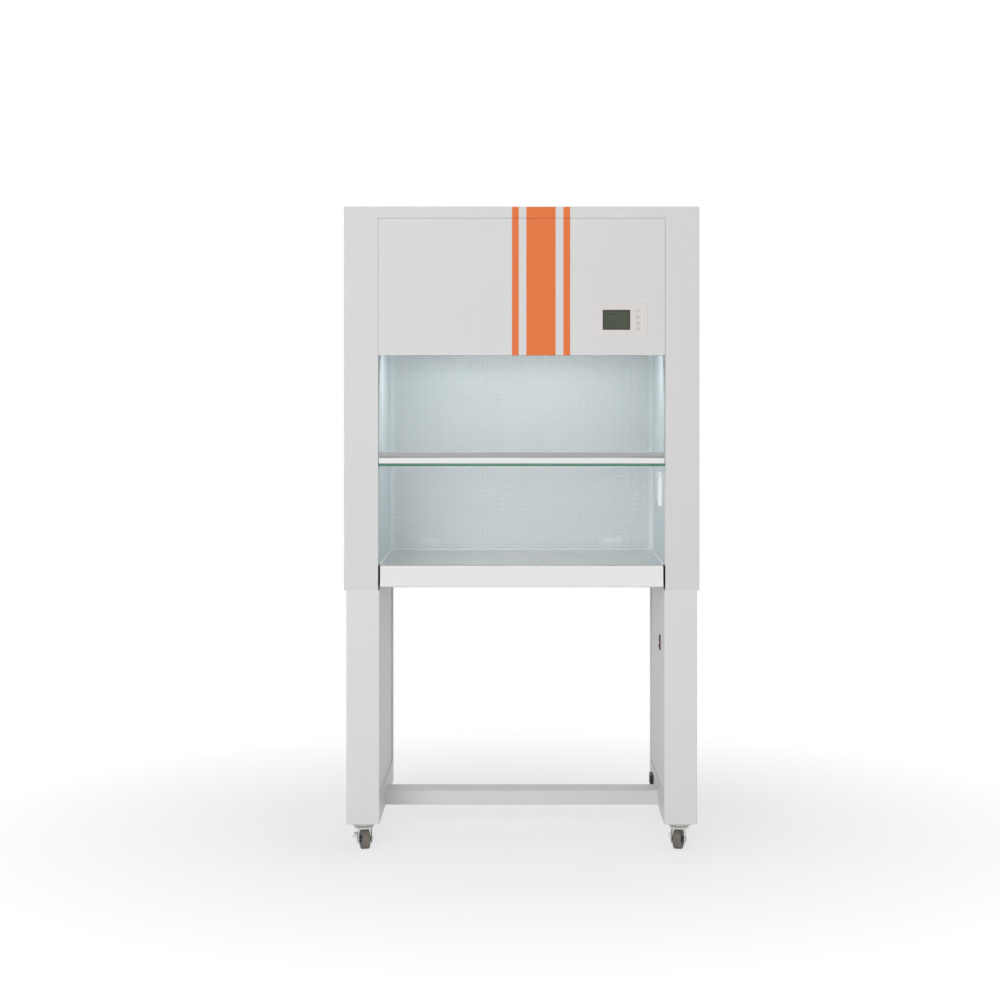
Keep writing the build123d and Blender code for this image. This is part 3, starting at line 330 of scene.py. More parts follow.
class Finish(Tree):
    """A material in the making, with one Principled shader."""

    def __init__(self, name, **fixed):
        self.material = bpy.data.materials.new(name)
        super().__init__(self.material)
        self.shader = self.node("ShaderNodeBsdfPrincipled", {},
                                {key.replace("_", " "): value for key, value in fixed.items()})
        self.output = self.node("ShaderNodeOutputMaterial", {}, {"Surface": self.shader.outputs[0]})

    def place(self, scale=(1, 1, 1)):
        """Object coordinates, stretched."""
        where = self.node("ShaderNodeTexCoord").outputs["Object"]
        if tuple(scale) == (1, 1, 1):
            return where
        return self.node("ShaderNodeMapping", {}, {"Vector": where, "Scale": scale}).outputs[0]

    def axes(self):
        """Object coordinates as three values."""
        parts = self.node("ShaderNodeSeparateXYZ", {}, {0: self.place()})
        return [Value(self, socket) for socket in parts.outputs]

    def noise(self, scale, detail=2.0, rough=0.5, stretch=(1, 1, 1)):
        """Noise around a half, as a value."""
        made = self.node("ShaderNodeTexNoise", {}, {
            "Vector": self.place(stretch), "Scale": scale, "Detail": detail, "Roughness": rough})
        return Value(self, made.outputs[0])

    def cells(self, scale):
        """Distance to the nearest of scattered points, as a value."""
        made = self.node("ShaderNodeTexVoronoi", {}, {"Vector": self.place(), "Scale": scale})
        return Value(self, made.outputs["Distance"])

    def blend(self, factor, first, second):
        """Mix two colours by a value."""
        made = self.node("ShaderNodeMix", {"data_type": "RGBA"}, {0: factor, 6: first, 7: second})
        return made.outputs[2]

    def coat(self, colour=None, roughness=None, height=None, depth=0.0001, strength=0.5, **others):
        """Feed the shader's sockets that change over the surface."""
        if colour is not None:
            self.feed(self.shader.inputs["Base Color"], colour)
        if roughness is not None:
            self.feed(self.shader.inputs["Roughness"], roughness)
        for key, value in others.items():
            self.feed(self.shader.inputs[key.replace("_", " ")], value)
        if height is not None:
            bump = self.node("ShaderNodeBump", {},
                             {"Strength": strength, "Distance": depth, "Height": height})
            self.feed(self.shader.inputs["Normal"], bump.outputs[0])
        return self.material


def shade(colour, factor):
    """A colour made lighter or darker."""
    return tuple(min(1.0, part * factor) for part in colour)


def grey(level):
    """A neutral colour."""
    return (level, level, level)


def powder_coat(name, colour, stripes=()):
    """Powder coat: fine orange peel, faint clouding, and stripes where the panel has them."""
    finish = Finish(name, IOR=1.48)
    peel = finish.noise(900.0, 2.0)
    cloud = finish.noise(5.0, 3.0)
    handled = finish.noise(38.0, 4.0)
    base = finish.blend(cloud, shade(colour, 0.985), shade(colour, 1.012))
    if stripes:
        x, y, z = finish.axes()
        look = bpy.context.scene.cabinet_finish
        mask = sum((x.within(low, high) for low, high in stripes), 0.0)
        mask = mask * (z > look.stripe_foot) * (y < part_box("front_fascia")[0].y + 0.6 * MM)
        ink = finish.blend(cloud, shade(look.stripe_colour, 0.97), shade(look.stripe_colour, 1.02))
        base = finish.blend(mask, base, ink)
    return finish.coat(base, 0.36 + 0.10 * handled, peel, 0.00004, 0.35)


def brushed(name, colour, way, roughness=0.28, depth=0.00002, clouding=0.10):
    """Brushed metal with scratches that run one way."""
    finish = Finish(name, Metallic=1.0)
    along = tuple(1.2 if n == "XYZ".index(way) else 60.0 for n in range(3))
    fine = finish.noise(14.0, 4.0, 0.65, along)
    broad = finish.noise(2.6, 3.0, 0.5, along)
    smear = finish.noise(6.0, 4.0)
    base = finish.blend(fine, shade(colour, 0.86), shade(colour, 1.08))
    dull = roughness + 0.16 * fine + clouding * smear - 0.05
    return finish.coat(base, dull, fine + 0.4 * broad, depth, 0.5)


def plated(name, colour, roughness=0.24, metallic=1.0):
    """Zinc plate: small spangles, dull patches and fine scratches."""
    finish = Finish(name, Metallic=metallic)
    spangle = finish.cells(420.0)
    dull = finish.noise(60.0, 4.0)
    fine = finish.noise(1500.0, 2.0)
    base = finish.blend(dull, shade(colour, 0.78), shade(colour, 1.10))
    return finish.coat(base, roughness + 0.22 * dull + 0.08 * spangle, fine, 0.00002, 0.3)


def moulded(name, colour, roughness=0.42, grain=1400.0, depth=0.00003, wear=0.10):
    """Moulded plastic with a fine spark texture and slight handling wear."""
    finish = Finish(name, IOR=1.5)
    spark = finish.noise(grain, 2.0)
    rub = finish.noise(55.0, 4.0)
    base = finish.blend(rub, shade(colour, 1 - wear / 2), shade(colour, 1 + wear / 3))
    return finish.coat(base, roughness + 0.14 * rub - 0.07, spark, depth, 0.4)


def cast(name, colour, roughness=0.62):
    """Cast or enamelled metal with a pitted skin."""
    finish = Finish(name, Metallic=0.35, IOR=1.6)
    skin = finish.noise(240.0, 5.0, 0.6)
    rust = finish.noise(22.0, 5.0)
    base = finish.blend((rust - 0.35) * 1.4, shade(colour, 0.8), shade(colour, 1.3))
    return finish.coat(base, roughness + 0.2 * skin - 0.1, skin, 0.0002, 0.6)


def rubber(name, colour, roughness=0.7, scale=700.0):
    """Rubber with dust in its pores."""
    finish = Finish(name, IOR=1.52)
    pores = finish.noise(scale, 4.0)
    dust = finish.noise(45.0, 5.0, 0.6)
    base = finish.blend(((dust - 0.45) * 3.0).held(), colour, shade(colour, 1.7))
    return finish.coat(base, roughness + 0.15 * dust, pores, 0.00008, 0.5)


def felt(name, colour):
    """Non-woven filter wool: crossed fibres."""
    finish = Finish(name, Sheen_Weight=0.3)
    first = finish.noise(160.0, 5.0, 0.7, (1, 6, 1))
    second = finish.noise(160.0, 5.0, 0.7, (6, 1, 1))
    fibres = first * second * 3.0
    base = finish.blend(fibres.held(), shade(colour, 0.72), colour)
    return finish.coat(base, 0.9 - 0.05 * first, fibres, 0.0008, 0.9)


def pleated(name, colour):
    """Glass-fibre paper with faint folds."""
    finish = Finish(name)
    fibre = finish.noise(520.0, 5.0, 0.65)
    _, _, z = finish.axes()
    beads_per_metre = 32.0
    bead = (z * beads_per_metre).maths("FRACT", z * beads_per_metre) > 0.965
    base = finish.blend(fibre, shade(colour, 0.9), colour)
    base = finish.blend(bead, base, shade(colour, 0.82))
    return finish.coat(base, 0.88 + 0.06 * fibre, fibre, 0.0002, 0.5)


def sheet_glass(name):
    """Clear float glass, with the deep green that shows where one looks into its edges, and a green strip
    along its foot that is painted light.
    """
    finish = Finish(name, IOR=1.5, Transmission_Weight=1.0)
    x, _, z = finish.axes()
    low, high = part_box("sash_glass")
    tint = bpy.context.scene.cabinet_finish.glass_edge
    # Painted light: the lowest 7 mm turn green, for the glow of light carried inside the glass to its lower
    # edge.
    foot = z < low.z + 7.0 * MM
    rim = ((z < low.z + 1.2 * MM) + (z > high.z - 1.2 * MM) + (abs(x) > high.x - 1.2 * MM)).held()
    haze = finish.noise(7.0, 4.0)
    body = finish.blend(foot, (0.955, 0.985, 0.975), (0.16, 0.42, 0.28))
    return finish.coat(finish.blend(rim, body, tint), 0.015 + 0.02 * haze)


def opal_tube(name, colour, transmission):
    """A glass tube with a faint powder inside and a greyed ring near each end."""
    finish = Finish(name, IOR=1.46, Transmission_Weight=transmission)
    x, _, _ = finish.axes()
    powder = finish.noise(90.0, 3.0)
    ring = (abs(x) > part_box("work_lamp_tube")[1].x - 0.028)
    base = finish.blend(ring, finish.blend(powder, shade(colour, 0.97), colour), shade(colour, 0.62))
    return finish.coat(base, 0.08 + 0.05 * powder)


def screen(name):
    """A dark green liquid-crystal screen with a darker rim and a faint dot raster."""
    finish = Finish(name, IOR=1.5, Coat_Roughness=0.05)
    x, _, z = finish.axes()
    low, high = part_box("lcd_window")
    look = bpy.context.scene.cabinet_finish
    rim = 1 - x.within(low.x + 7.0 * MM, high.x - 5.0 * MM) * z.within(low.z + 5.5 * MM, high.z - 5.5 * MM)
    dots = 1600.0
    raster = (x * dots).maths("SINE", x * dots) * (z * dots).maths("SINE", z * dots)
    cloud = finish.noise(18.0, 3.0)
    glow = finish.blend(cloud, shade(look.screen_colour, 0.92), shade(look.screen_colour, 1.1))
    glow = finish.blend((raster > 0.55) * 0.12, glow, shade(look.screen_colour, 0.6))
    base = finish.blend(rim, glow, shade(look.screen_colour, 0.72))
    return finish.coat(base, 0.20 + 0.08 * cloud, Coat_Weight=0.25 + 0.1 * cloud)


def anodised(name, colour, painted_shade_above_z=None, painted_shade_colour=None):
    """Satin anodised aluminium, with painted shade: a darker grey over the handle's top band."""
    finish = Finish(name, Metallic=0.55, IOR=1.6)
    fine = finish.noise(20.0, 4.0, 0.6, (1.5, 70, 70))
    smear = finish.noise(9.0, 4.0)
    base = finish.blend(fine, shade(colour, 0.95), shade(colour, 1.03))
    if painted_shade_above_z is not None:
        # Painted shade: above this height the handle turns a darker grey, for the shaded top face of the
        # grip.
        _, _, z = finish.axes()
        base = finish.blend(z > painted_shade_above_z, base, finish.blend(fine, shade(painted_shade_colour, 0.92), shade(painted_shade_colour, 1.06)))
    return finish.coat(base, 0.34 + 0.12 * smear, fine, 0.00002, 0.35)


# Settings that a user would change

class CabinetFinish(bpy.types.PropertyGroup):
    """Colours and places of the painted parts."""

    body_colour: FloatVectorProperty(
        name="Body colour", description="Powder coat of the body", subtype="COLOR", size=3,
        default=(0.71, 0.71, 0.705), min=0.0, max=1.0)
    stand_colour: FloatVectorProperty(
        name="Stand colour", description="Powder coat of the stand", subtype="COLOR", size=3,
        default=(0.76, 0.76, 0.77), min=0.0, max=1.0)
    stripe_colour: FloatVectorProperty(
        name="Stripe colour", description="Stripes on the head of the cabinet", subtype="COLOR", size=3,
        default=(0.79, 0.185, 0.050), min=0.0, max=1.0)
    stripe_foot: FloatProperty(
        name="Stripe foot", description="Height at which the stripes start", subtype="DISTANCE",
        unit="LENGTH", default=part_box("head_front_panel")[0].z - 0.001)
    # Pale paint of the chamber walls and ceiling, with a bluish tint that is a painted reflection of bluish
    # light.
    liner_colour_and_painted_blue: FloatVectorProperty(
        name="Liner colour", description="Walls and ceiling of the chamber", subtype="COLOR", size=3,
        default=(0.69, 0.765, 0.79), min=0.0, max=1.0)
    diffuser_colour: FloatVectorProperty(
        name="Diffuser colour", description="Perforated wall of the chamber", subtype="COLOR", size=3,
        default=(0.745, 0.80, 0.81), min=0.0, max=1.0)
    glass_edge: FloatVectorProperty(
        name="Glass edge", description="Green of the edges of the glass", subtype="COLOR", size=3,
        default=(0.02, 0.15, 0.06), min=0.0, max=1.0)
    screen_colour: FloatVectorProperty(
        name="Screen colour", description="Liquid-crystal screen of the controller", subtype="COLOR",
        size=3, default=(0.040, 0.052, 0.026), min=0.0, max=1.0)


class DiffuserSettings(bpy.types.PropertyGroup):
    """Perforation of the wall that the clean air comes through."""

    pitch: FloatProperty(name="Pitch", description="Distance between holes in a row", subtype="DISTANCE",
                         unit="LENGTH", default=0.00727, min=0.004)
    row_pitch: FloatProperty(name="Row pitch", description="Distance between rows", subtype="DISTANCE",
                             unit="LENGTH", default=0.00705, min=0.004)
    hole: FloatProperty(name="Hole", description="Radius of a hole", subtype="DISTANCE", unit="LENGTH",
                        default=0.00180, min=0.0005)
    foot: FloatProperty(name="Foot", description="Height of the lowest row's lower edge",
                        subtype="DISTANCE", unit="LENGTH", default=0.7284)
    sheet: FloatProperty(name="Sheet", description="Thickness of the sheet", subtype="DISTANCE",
                         unit="LENGTH", default=0.0012, min=0.0005)
    columns: IntProperty(name="Columns", description="Holes from the middle to a side", default=48, min=2)
    rows: IntProperty(name="Rows", description="Rows of holes", default=76, min=2)
    land_reach: FloatProperty(name="Land reach", description="From the middle to a plain land",
                              subtype="DISTANCE", unit="LENGTH", default=0.252)
    land_height: FloatProperty(name="Land height", description="Height of the plain lands",
                               subtype="DISTANCE", unit="LENGTH", default=0.747)


class CasterSettings(bpy.types.PropertyGroup):
    """Sizes of the casters."""

    wheel_radius: FloatProperty(name="Wheel radius", description="Radius over the tread",
                                subtype="DISTANCE", unit="LENGTH", default=0.025, min=0.01)
    wheel_width: FloatProperty(name="Wheel width", description="Width over the tyre", subtype="DISTANCE",
                               unit="LENGTH", default=0.022, min=0.005)
    trail: FloatProperty(name="Trail", description="Axle behind the kingpin", subtype="DISTANCE",
                         unit="LENGTH", default=0.012, min=0.0)


class StageSettings(bpy.types.PropertyGroup):
    """Camera and light."""

    camera_distance: FloatProperty(name="Camera distance", description="From the front of the cabinet",
                                   subtype="DISTANCE", unit="LENGTH", default=5.30, min=1.0)
    camera_height: FloatProperty(name="Camera height", description="Above the floor", subtype="DISTANCE",
                                 unit="LENGTH", default=1.181, min=0.1)
    ambient: FloatProperty(name="Ambient", description="Strength of the soft light all round", default=0.24,
                           min=0.0)


# Pieces

def slot_materials():
    """The finish of every material slot of the record, by its name."""
    look = bpy.context.scene.cabinet_finish
    handle_low, handle_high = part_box("sash_handle")
    return {
        "body_paint": powder_coat("body_paint", look.body_colour),
        "stand_paint": powder_coat("stand_paint", look.stand_colour),
        # The liner's pale paint keeps its bluish tint as a painted reflection.
        "liner_paint": powder_coat("liner_paint", look.liner_colour_and_painted_blue),
        "worktop_steel": brushed("worktop_steel", (0.84, 0.835, 0.82), "X", 0.22),
        "diffuser_paint": powder_coat("diffuser_paint", look.diffuser_colour),
        "safety_glass": sheet_glass("safety_glass"),
        # The handle's top half gets a darker grey (0.42) as painted shade.
        "handle_aluminium": anodised("handle_aluminium", (0.84, 0.84, 0.83),
                                     (handle_low.z + handle_high.z) / 2, (0.42, 0.42, 0.425)),
        "zinc_plate": plated("zinc_plate", (0.62, 0.62, 0.60), 0.32),
        "filter_frame": brushed("filter_frame", (0.70, 0.71, 0.72), "Z", 0.38),
        "filter_paper": pleated("filter_paper", (0.86, 0.86, 0.83)),
        "gasket_foam": rubber("gasket_foam", (0.045, 0.045, 0.047), 0.85, 420.0),
        "motor_paint": cast("motor_paint", (0.10, 0.11, 0.125), 0.5),
        "impeller_zinc": plated("impeller_zinc", (0.60, 0.61, 0.62), 0.36),
        "intake_paint": powder_coat("intake_paint", shade(look.body_colour, 0.96)),
        "prefilter_wool": felt("prefilter_wool", (0.86, 0.88, 0.88)),
        "tube_glass": opal_tube("tube_glass", (0.92, 0.93, 0.93), 0.15),
        "quartz_glass": opal_tube("quartz_glass", (0.90, 0.94, 0.97), 0.85),
        "lamp_fitting": powder_coat("lamp_fitting", (0.82, 0.82, 0.81)),
        "wire_steel": brushed("wire_steel", (0.50, 0.50, 0.50), "Z", 0.34),
        "weight_iron": cast("weight_iron", (0.065, 0.065, 0.068)),
        "pulley_nylon": moulded("pulley_nylon", (0.80, 0.78, 0.70), 0.46, 900.0),
        "controller_plastic": moulded("controller_plastic", (0.74, 0.705, 0.695), 0.40),
        "screen_glass": screen("screen_glass"),
        "key_rubber": moulded("key_rubber", (0.66, 0.64, 0.63), 0.58, 900.0),
        "socket_plastic": moulded("socket_plastic", (0.85, 0.86, 0.855), 0.26, 2200.0, 0.00001, 0.05),
        "switch_black": moulded("switch_black", (0.022, 0.022, 0.024), 0.44),
        "rocker_red": moulded("rocker_red", (0.55, 0.035, 0.025), 0.28, 2000.0, 0.00001),
        "caster_zinc": plated("caster_zinc", (0.56, 0.55, 0.53), 0.20),
        "wheel_rubber": rubber("wheel_rubber", (0.030, 0.033, 0.048), 0.55),
    }


class CABINET_OT_finishes(bpy.types.Operator):
    """Give every node of the frame its material"""

    bl_idname = "cabinet.finishes"
    bl_label = "Frame finishes"

    def execute(self, context):
        made = slot_materials()
        look = context.scene.cabinet_finish
        striped = powder_coat("striped_paint", look.body_colour,
                              ((-24.5 * MM, -7.5 * MM), (11.7 * MM, 85.9 * MM), (105.5 * MM, 122.8 * MM)))
        for part in frame["record"]["subparts"]:
            node = frame["nodes"][part["node"]]
            node.data.materials.clear()
            front = part["node"] in ("front_fascia", "head_front_panel")
            node.data.materials.append(striped if front else made[part["material_slot"]])
        return {"FINISHED"}


class CABINET_OT_diffuser(bpy.types.Operator):
    """Model the perforated wall of the chamber"""

    bl_idname = "cabinet.diffuser"
    bl_label = "Perforated wall"

    def execute(self, context):
        plan = context.scene.cabinet_diffuser
        low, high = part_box("diffuser_plate")
        foot = plan.foot
        half = (2 * plan.columns + 0.5) * plan.pitch / 2
        top = foot + plan.rows * plan.row_pitch
        middle = Vector((0, low.y, foot + plan.row_pitch / 2))
        bpy.ops.object.select_all(action="DESELECT")
        bpy.ops.mesh.primitive_circle_add(vertices=6, radius=plan.hole, rotation=(pi / 2, 0, 0),
                                          location=middle)
        holes = named("perforation")
        with editing(holes, "EDGE"):
            bpy.ops.mesh.select_all(action="SELECT")
            bpy.ops.mesh.extrude_edges_move(TRANSFORM_OT_translate={"value": (0, 0, 0)})
            wide = plan.pitch / (2 * cos(radians(30)) * plan.hole)
            tall = plan.row_pitch / (1.5 * plan.hole)
            bpy.ops.transform.resize(value=(wide, 1, tall), center_override=middle)
            pick(holes, lambda place, way: (place - middle).length < 1.01 * plan.hole)
            bpy.ops.mesh.extrude_edges_move(TRANSFORM_OT_translate={"value": (0, plan.sheet, 0)})
        steps = (
            (2 * plan.columns + 3, (plan.pitch, 0, 0)),
            (2, (plan.pitch / 2, 0, plan.row_pitch)),
            (plan.rows // 2 + 1, (0, 0, 2 * plan.row_pitch)),
        )
        for count, offset in steps:
            array = holes.modifiers.new("Row", "ARRAY")
            array.count = count
            array.use_relative_offset = False
            array.use_constant_offset = True
            array.constant_offset_displace = offset
            array.use_merge_vertices = True
            array.merge_threshold = 0.02 * MM
        settle(holes)
        holes.location = (-(plan.columns + 1) * plan.pitch, 0, -plan.row_pitch)
        settle(holes)
        for point, normal in (((half, 0, 0), (1, 0, 0)), ((-half, 0, 0), (-1, 0, 0)),
                              ((0, 0, foot), (0, 0, -1)), ((0, 0, top), (0, 0, 1))):
            trim(holes, point, normal, fill=False)
        pan = block("pan", low, high)
        with editing(pan):
            pick(pan, lambda place, way: way.y > 0.9)
            bpy.ops.mesh.delete(type="FACE")
        window = block("window", (-half, low.y - 0.01, foot), (half, low.y + 0.004, top))
        wall = pan.modifiers.new("Wall", "SOLIDIFY")
        wall.thickness = plan.sheet
        wall.offset = -1
        settle(pan)
        cut(pan, window)
        lands = []
        reach = Vector((25 * MM, 0, 8.5 * MM))
        for end in (-1, 1):
            place = Vector((end * plan.land_reach, low.y, plan.land_height))
            land = soft_block("land", place - reach - Vector((0, 0.8 * MM, 0)),
                              place + reach + Vector((0, 0.2 * MM, 0)), 0.5 * MM)
            hole = rod("hole", place - Vector((0, 10 * MM, 0)), (0, 1, 0), 20 * MM, 2.7 * MM, 20)
            lands.append(cut(land, hole))
        plate = joined("perforated_diffuser", holes, pan, *lands)
        paint = bpy.data.materials["diffuser_paint"]
        fit_out(plate, "cabinet", [paint], ["diffuser_plate"])
        return {"FINISHED"}


class CABINET_OT_beads(bpy.types.Operator):
    """Model the sealing beads along the worktop"""

    bl_idname = "cabinet.beads"
    bl_label = "Sealing beads"

    def execute(self, context):
        low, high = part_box("worktop")
        beads = []
        for end in (-1, 1):
            inner, outer = sorted((end * (high.x - 2.5 * MM), end * (CHAMBER_HALF - 0.1 * MM)))
            beads.append(soft_block("bead", (inner, low.y + 20 * MM, high.z - 1.4 * MM),
                                    (outer, high.y - 1 * MM, high.z + 2.4 * MM), 1.6 * MM, 4))
        finish = moulded("silicone", (0.80, 0.82, 0.82), 0.35, 300.0, 0.0002)
        fit_out(joined("worktop_beads", *beads), "cabinet", [finish])
        return {"FINISHED"}


def tyre(name, radius, width):
    """A wheel about the X axis at the origin: rounded tread, grooved sides, dished core and hub."""
    wheel = rod(name, (-width / 2, 0, 0), (1, 0, 0), width, radius, 64)
    with editing(wheel, "EDGE"):
        pick(wheel, lambda place, way: abs(abs(place.x) - width / 2) < 1e-5)
        bpy.ops.mesh.bevel(offset=3.4 * MM, segments=5, affect="EDGES")
    for end in (-1, 1):
        with editing(wheel):
            pick(wheel, lambda place, way: way.x * end > 0.99)
            for thickness, depth in ((1.4, 0.0), (0.4, -0.9), (1.2, 0.0), (0.4, 0.9), (2.2, 0.3),
                                     (3.2, -1.6), (3.6, 0.4), (0.8, 3.6), (1.2, 1.0)):
                bpy.ops.mesh.inset(thickness=thickness * MM, depth=depth * MM)
    return wheel


def yoke(top, half, axle):
    """The folded sheet of a fork: a top with rounded corners and two cheeks that narrow to the axle."""
    sheet = block("yoke", (-half, -22 * MM, 12 * MM), (half, 21 * MM, top))
    with editing(sheet):
        pick(sheet, lambda place, way: abs(way.y) > 0.9 or way.z < -0.9)
        bpy.ops.mesh.delete(type="FACE")
    with editing(sheet, "EDGE"):
        pick(sheet, lambda place, way: abs(way.y) > 0.9 and place.z > top - 1e-5)
        bpy.ops.mesh.bevel(offset=7 * MM, segments=5, affect="EDGES")
    for angle in range(190, 361, 17):
        normal = Vector((0, cos(radians(angle)), sin(radians(angle))))
        trim(sheet, axle + normal * 12 * MM, normal, fill=False)
    trim(sheet, (0, 20 * MM, top - 12 * MM), (0, 0.78, -0.62), fill=False)
    wall = sheet.modifiers.new("Wall", "SOLIDIFY")
    wall.thickness = 2.4 * MM
    wall.offset = -1
    settle(sheet)
    return round_edges(sheet, 0.5 * MM, 2, 50)


def fork(top, half, axle):
    """A fork with its hood, kingpin head, washers and nuts."""
    hood = rod("hood", (0, 0, top - 6 * MM), (0, 0, 1), 6 * MM, 25 * MM, 48)
    with editing(hood):
        pick(hood, lambda place, way: way.z < -0.9)
        bpy.ops.mesh.inset(thickness=1.4 * MM, depth=0)
        bpy.ops.mesh.inset(thickness=0.1 * MM, depth=-3.4 * MM)
    with editing(hood, "EDGE"):
        pick(hood, lambda place, way: place.z > top - 1e-5)
        bpy.ops.mesh.bevel(offset=2.4 * MM, segments=4, affect="EDGES")
    pin = rod("pin", (0, 0, top - 7 * MM), (0, 0, 1), 3 * MM, 7.5 * MM, 24)
    fixings = []
    for end in (-1, 1):
        cheek = axle + Vector((end * half, 0, 0))
        fixings.append(rod("washer", cheek, (end, 0, 0), 0.8 * MM, 7.2 * MM, 32))
        nut = rod("nut", cheek + mm(end * 0.7, 0, 0), (end, 0, 0), 2.0 * MM, 6.0 * MM, 6)
        fixings.append(round_edges(nut, 0.4 * MM, 2))
    return outward(joined("plain_fork", yoke(top, half, axle), hood, pin, *fixings))


def pedal_bearing(half):
    """The two lugs and the bolt that carry a brake pedal."""
    outer = -half / MM - 6.5
    inner = -half / MM + 0.5
    lugs = [soft_block("lug", mm(outer, y, 33), mm(inner, y + 2, 39), 0.6 * MM) for y in (-8.5, 9.9)]
    return [*lugs, rod("bolt", mm(-half / MM - 3.5, -9.5, 36), (0, 1, 0), 22.5 * MM, 1.5 * MM, 16)]


def brake_pedal():
    """A pedal: a rounded bar on the bolt with a tongue bent outwards for the shoe."""
    bar = soft_block("pedal", mm(-24.4, -5.8, 33.2), mm(-19.2, 9.8, 38.4), 1.2 * MM, 3)
    tongue = block("tongue", mm(-25.2, -5.8, 31.5), mm(-23.2, 9.8, 35.0))
    with editing(tongue):
        pick(tongue, lambda place, way: way.z < -0.9)
        for bend in (mm(-4.6, 0, -3.2), mm(-1.4, 0, -0.2)):
            bpy.ops.mesh.extrude_region_move(TRANSFORM_OT_translate={"value": bend})
        pick(tongue, lambda place, way: way.x < -0.8 and place.z < 29.5 * MM)
        bpy.ops.mesh.extrude_region_move(TRANSFORM_OT_translate={"value": mm(-0.6, 0, 1.0)})
    return outward(joined("pedal", bar, round_edges(tongue, 0.5 * MM, 2)))


class CABINET_OT_casters(bpy.types.Operator):
    """Model the forks, wheels and brake pedals of the casters"""

    bl_idname = "cabinet.casters"
    bl_label = "Casters"

    def execute(self, context):
        plan = context.scene.cabinet_caster
        zinc = bpy.data.materials["caster_zinc"]
        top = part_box("caster_fork_front_left")[1].z
        half = 18.0 * MM
        axle = Vector((0, -plan.trail, plan.wheel_radius))
        plain = fork(top, half, axle)
        braked = joined("braked_fork", copied(plain, "braked_fork"), *pedal_bearing(half))

        wheel = tyre("wheel", plan.wheel_radius, plan.wheel_width)
        wheel.location = axle
        settle(wheel)
        tread = rubber("tread", (0.17, 0.15, 0.13), 0.62, 500.0)
        core = moulded("wheel_core", (0.028, 0.032, 0.055), 0.36, 700.0)
        hub = plated("wheel_hub", (0.50, 0.50, 0.49), 0.3)

        def part_of_wheel(middle, normal):
            reach = ((middle.y - axle.y) ** 2 + (middle.z - axle.z) ** 2) ** 0.5
            if reach > plan.wheel_radius - 1.6 * MM and abs(normal.x) < 0.8:
                return 0
            return 2 if reach < 6.4 * MM else 1

        paint_faces(wheel, (tread, core, hub), part_of_wheel)
        pedal = brake_pedal()

        for name, turn in CASTER_TURNS.items():
            low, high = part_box(f"caster_wheel_{name}")
            angle = radians(turn)
            place = (low + high) / 2 + plan.trail * Vector((-sin(angle), cos(angle), 0))
            place.z = 0
            front = name.startswith("front")
            swivel = copied(braked if front else plain, f"swivel_fork_{name}", turn, place)
            fit_out(swivel, f"caster_fork_{name}", [zinc], [f"caster_fork_{name}"])
            turned = copied(wheel, f"wheel_{name}", turn, place)
            fit_out(turned, f"caster_wheel_{name}", [], [f"caster_wheel_{name}"])
            if front:
                foot = copied(pedal, f"pedal_{name}", turn, place)
                fit_out(foot, f"brake_pedal_{name}", [zinc], [f"brake_pedal_{name}"])
        for piece in (plain, braked, wheel, pedal):
            bpy.data.objects.remove(piece)
        return {"FINISHED"}


class CABINET_OT_socket(bpy.types.Operator):
    """Model the wall socket in the chamber"""

    bl_idname = "cabinet.socket"
    bl_label = "Wall socket"

    def execute(self, context):
        low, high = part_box("power_socket")
        centre = (low + high) / 2
        face = Vector((low.x, centre.y, centre.z))
        plate = block("plate", low, (CHAMBER_HALF, high.y, high.z))
        with editing(plate):
            pick(plate, lambda place, way: way.x < -0.9)
            bpy.ops.mesh.inset(thickness=7.0 * MM, depth=0)
            bpy.ops.mesh.inset(thickness=0.5 * MM, depth=-0.8 * MM)
            bpy.ops.mesh.inset(thickness=0.7 * MM, depth=0.8 * MM)
        round_edges(plate, 1.0 * MM, 3, 50)
        slots = []
        flat = [(end * 6.5, 17.0, 0) for end in (-1, 1)]
        slanted = [(end * 6.5, -24.0, end * 35) for end in (-1, 1)]
        for y, z, slant in (*flat, *slanted, (0, -11.0, 0)):
            slot = block("slot", mm(-4, -1, -4), mm(4, 1, 4))
            slot.rotation_euler = (radians(slant), 0, 0)
            slot.location = face + mm(0, y, z)
            slots.append(settle(slot))
        cut(plate, *slots)
        reach = 30 * MM
        box = soft_block("box", (CHAMBER_HALF, centre.y - reach, centre.z - reach),
                         (high.x, centre.y + reach, centre.z + reach), 1.2 * MM)
        piece = joined("wall_socket", plate, box)
        plastic = bpy.data.materials["socket_plastic"]
        fit_out(piece, "cabinet", [plastic], ["power_socket"])
        return {"FINISHED"}


class CABINET_OT_controller(bpy.types.Operator):
    """Model the rib beside the keys and the marks on the screen"""

    bl_idname = "cabinet.controller"
    bl_label = "Controller details"

    def execute(self, context):
        low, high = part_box("controller_housing")
        left, width, inset = 304.3 * MM, 1.2 * MM, 6 * MM
        rib = soft_block("rib", (left, low.y - 0.3 * MM, low.z + inset),
                         (left + width, low.y + 1 * MM, high.z - inset), 0.3 * MM)
        fit_out(rib, "cabinet", [bpy.data.materials["controller_plastic"]])
        screen_low, screen_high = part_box("lcd_window")
        top_left = Vector((screen_low.x, screen_low.y, screen_high.z)) + mm(10, 0, -10)
        marks = []
        for column, (wide, tall) in enumerate(((5.0, 2.2), (3.2, 3.2), (6.4, 2.2))):
            corner = top_left + mm(8.5 * column, 0, -tall)
            marks.append((corner, corner + mm(wide, 0, tall)))
        for row in range(2):
            corner = screen_low + mm(12, 0, 12 + 9 * row)
            marks.append((corner, corner + mm(28 - 9 * row, 0, 1.2)))
        marks = [soft_block("mark", corner - mm(0, 0.1, 0), end + mm(0, 0.2, 0), 0.05 * MM)
                 for corner, end in marks]
        ink = moulded("screen_ink", (0.012, 0.016, 0.010), 0.3, 900.0, 0.00001)
        fit_out(joined("screen_marks", *marks), "cabinet", [ink])
        return {"FINISHED"}


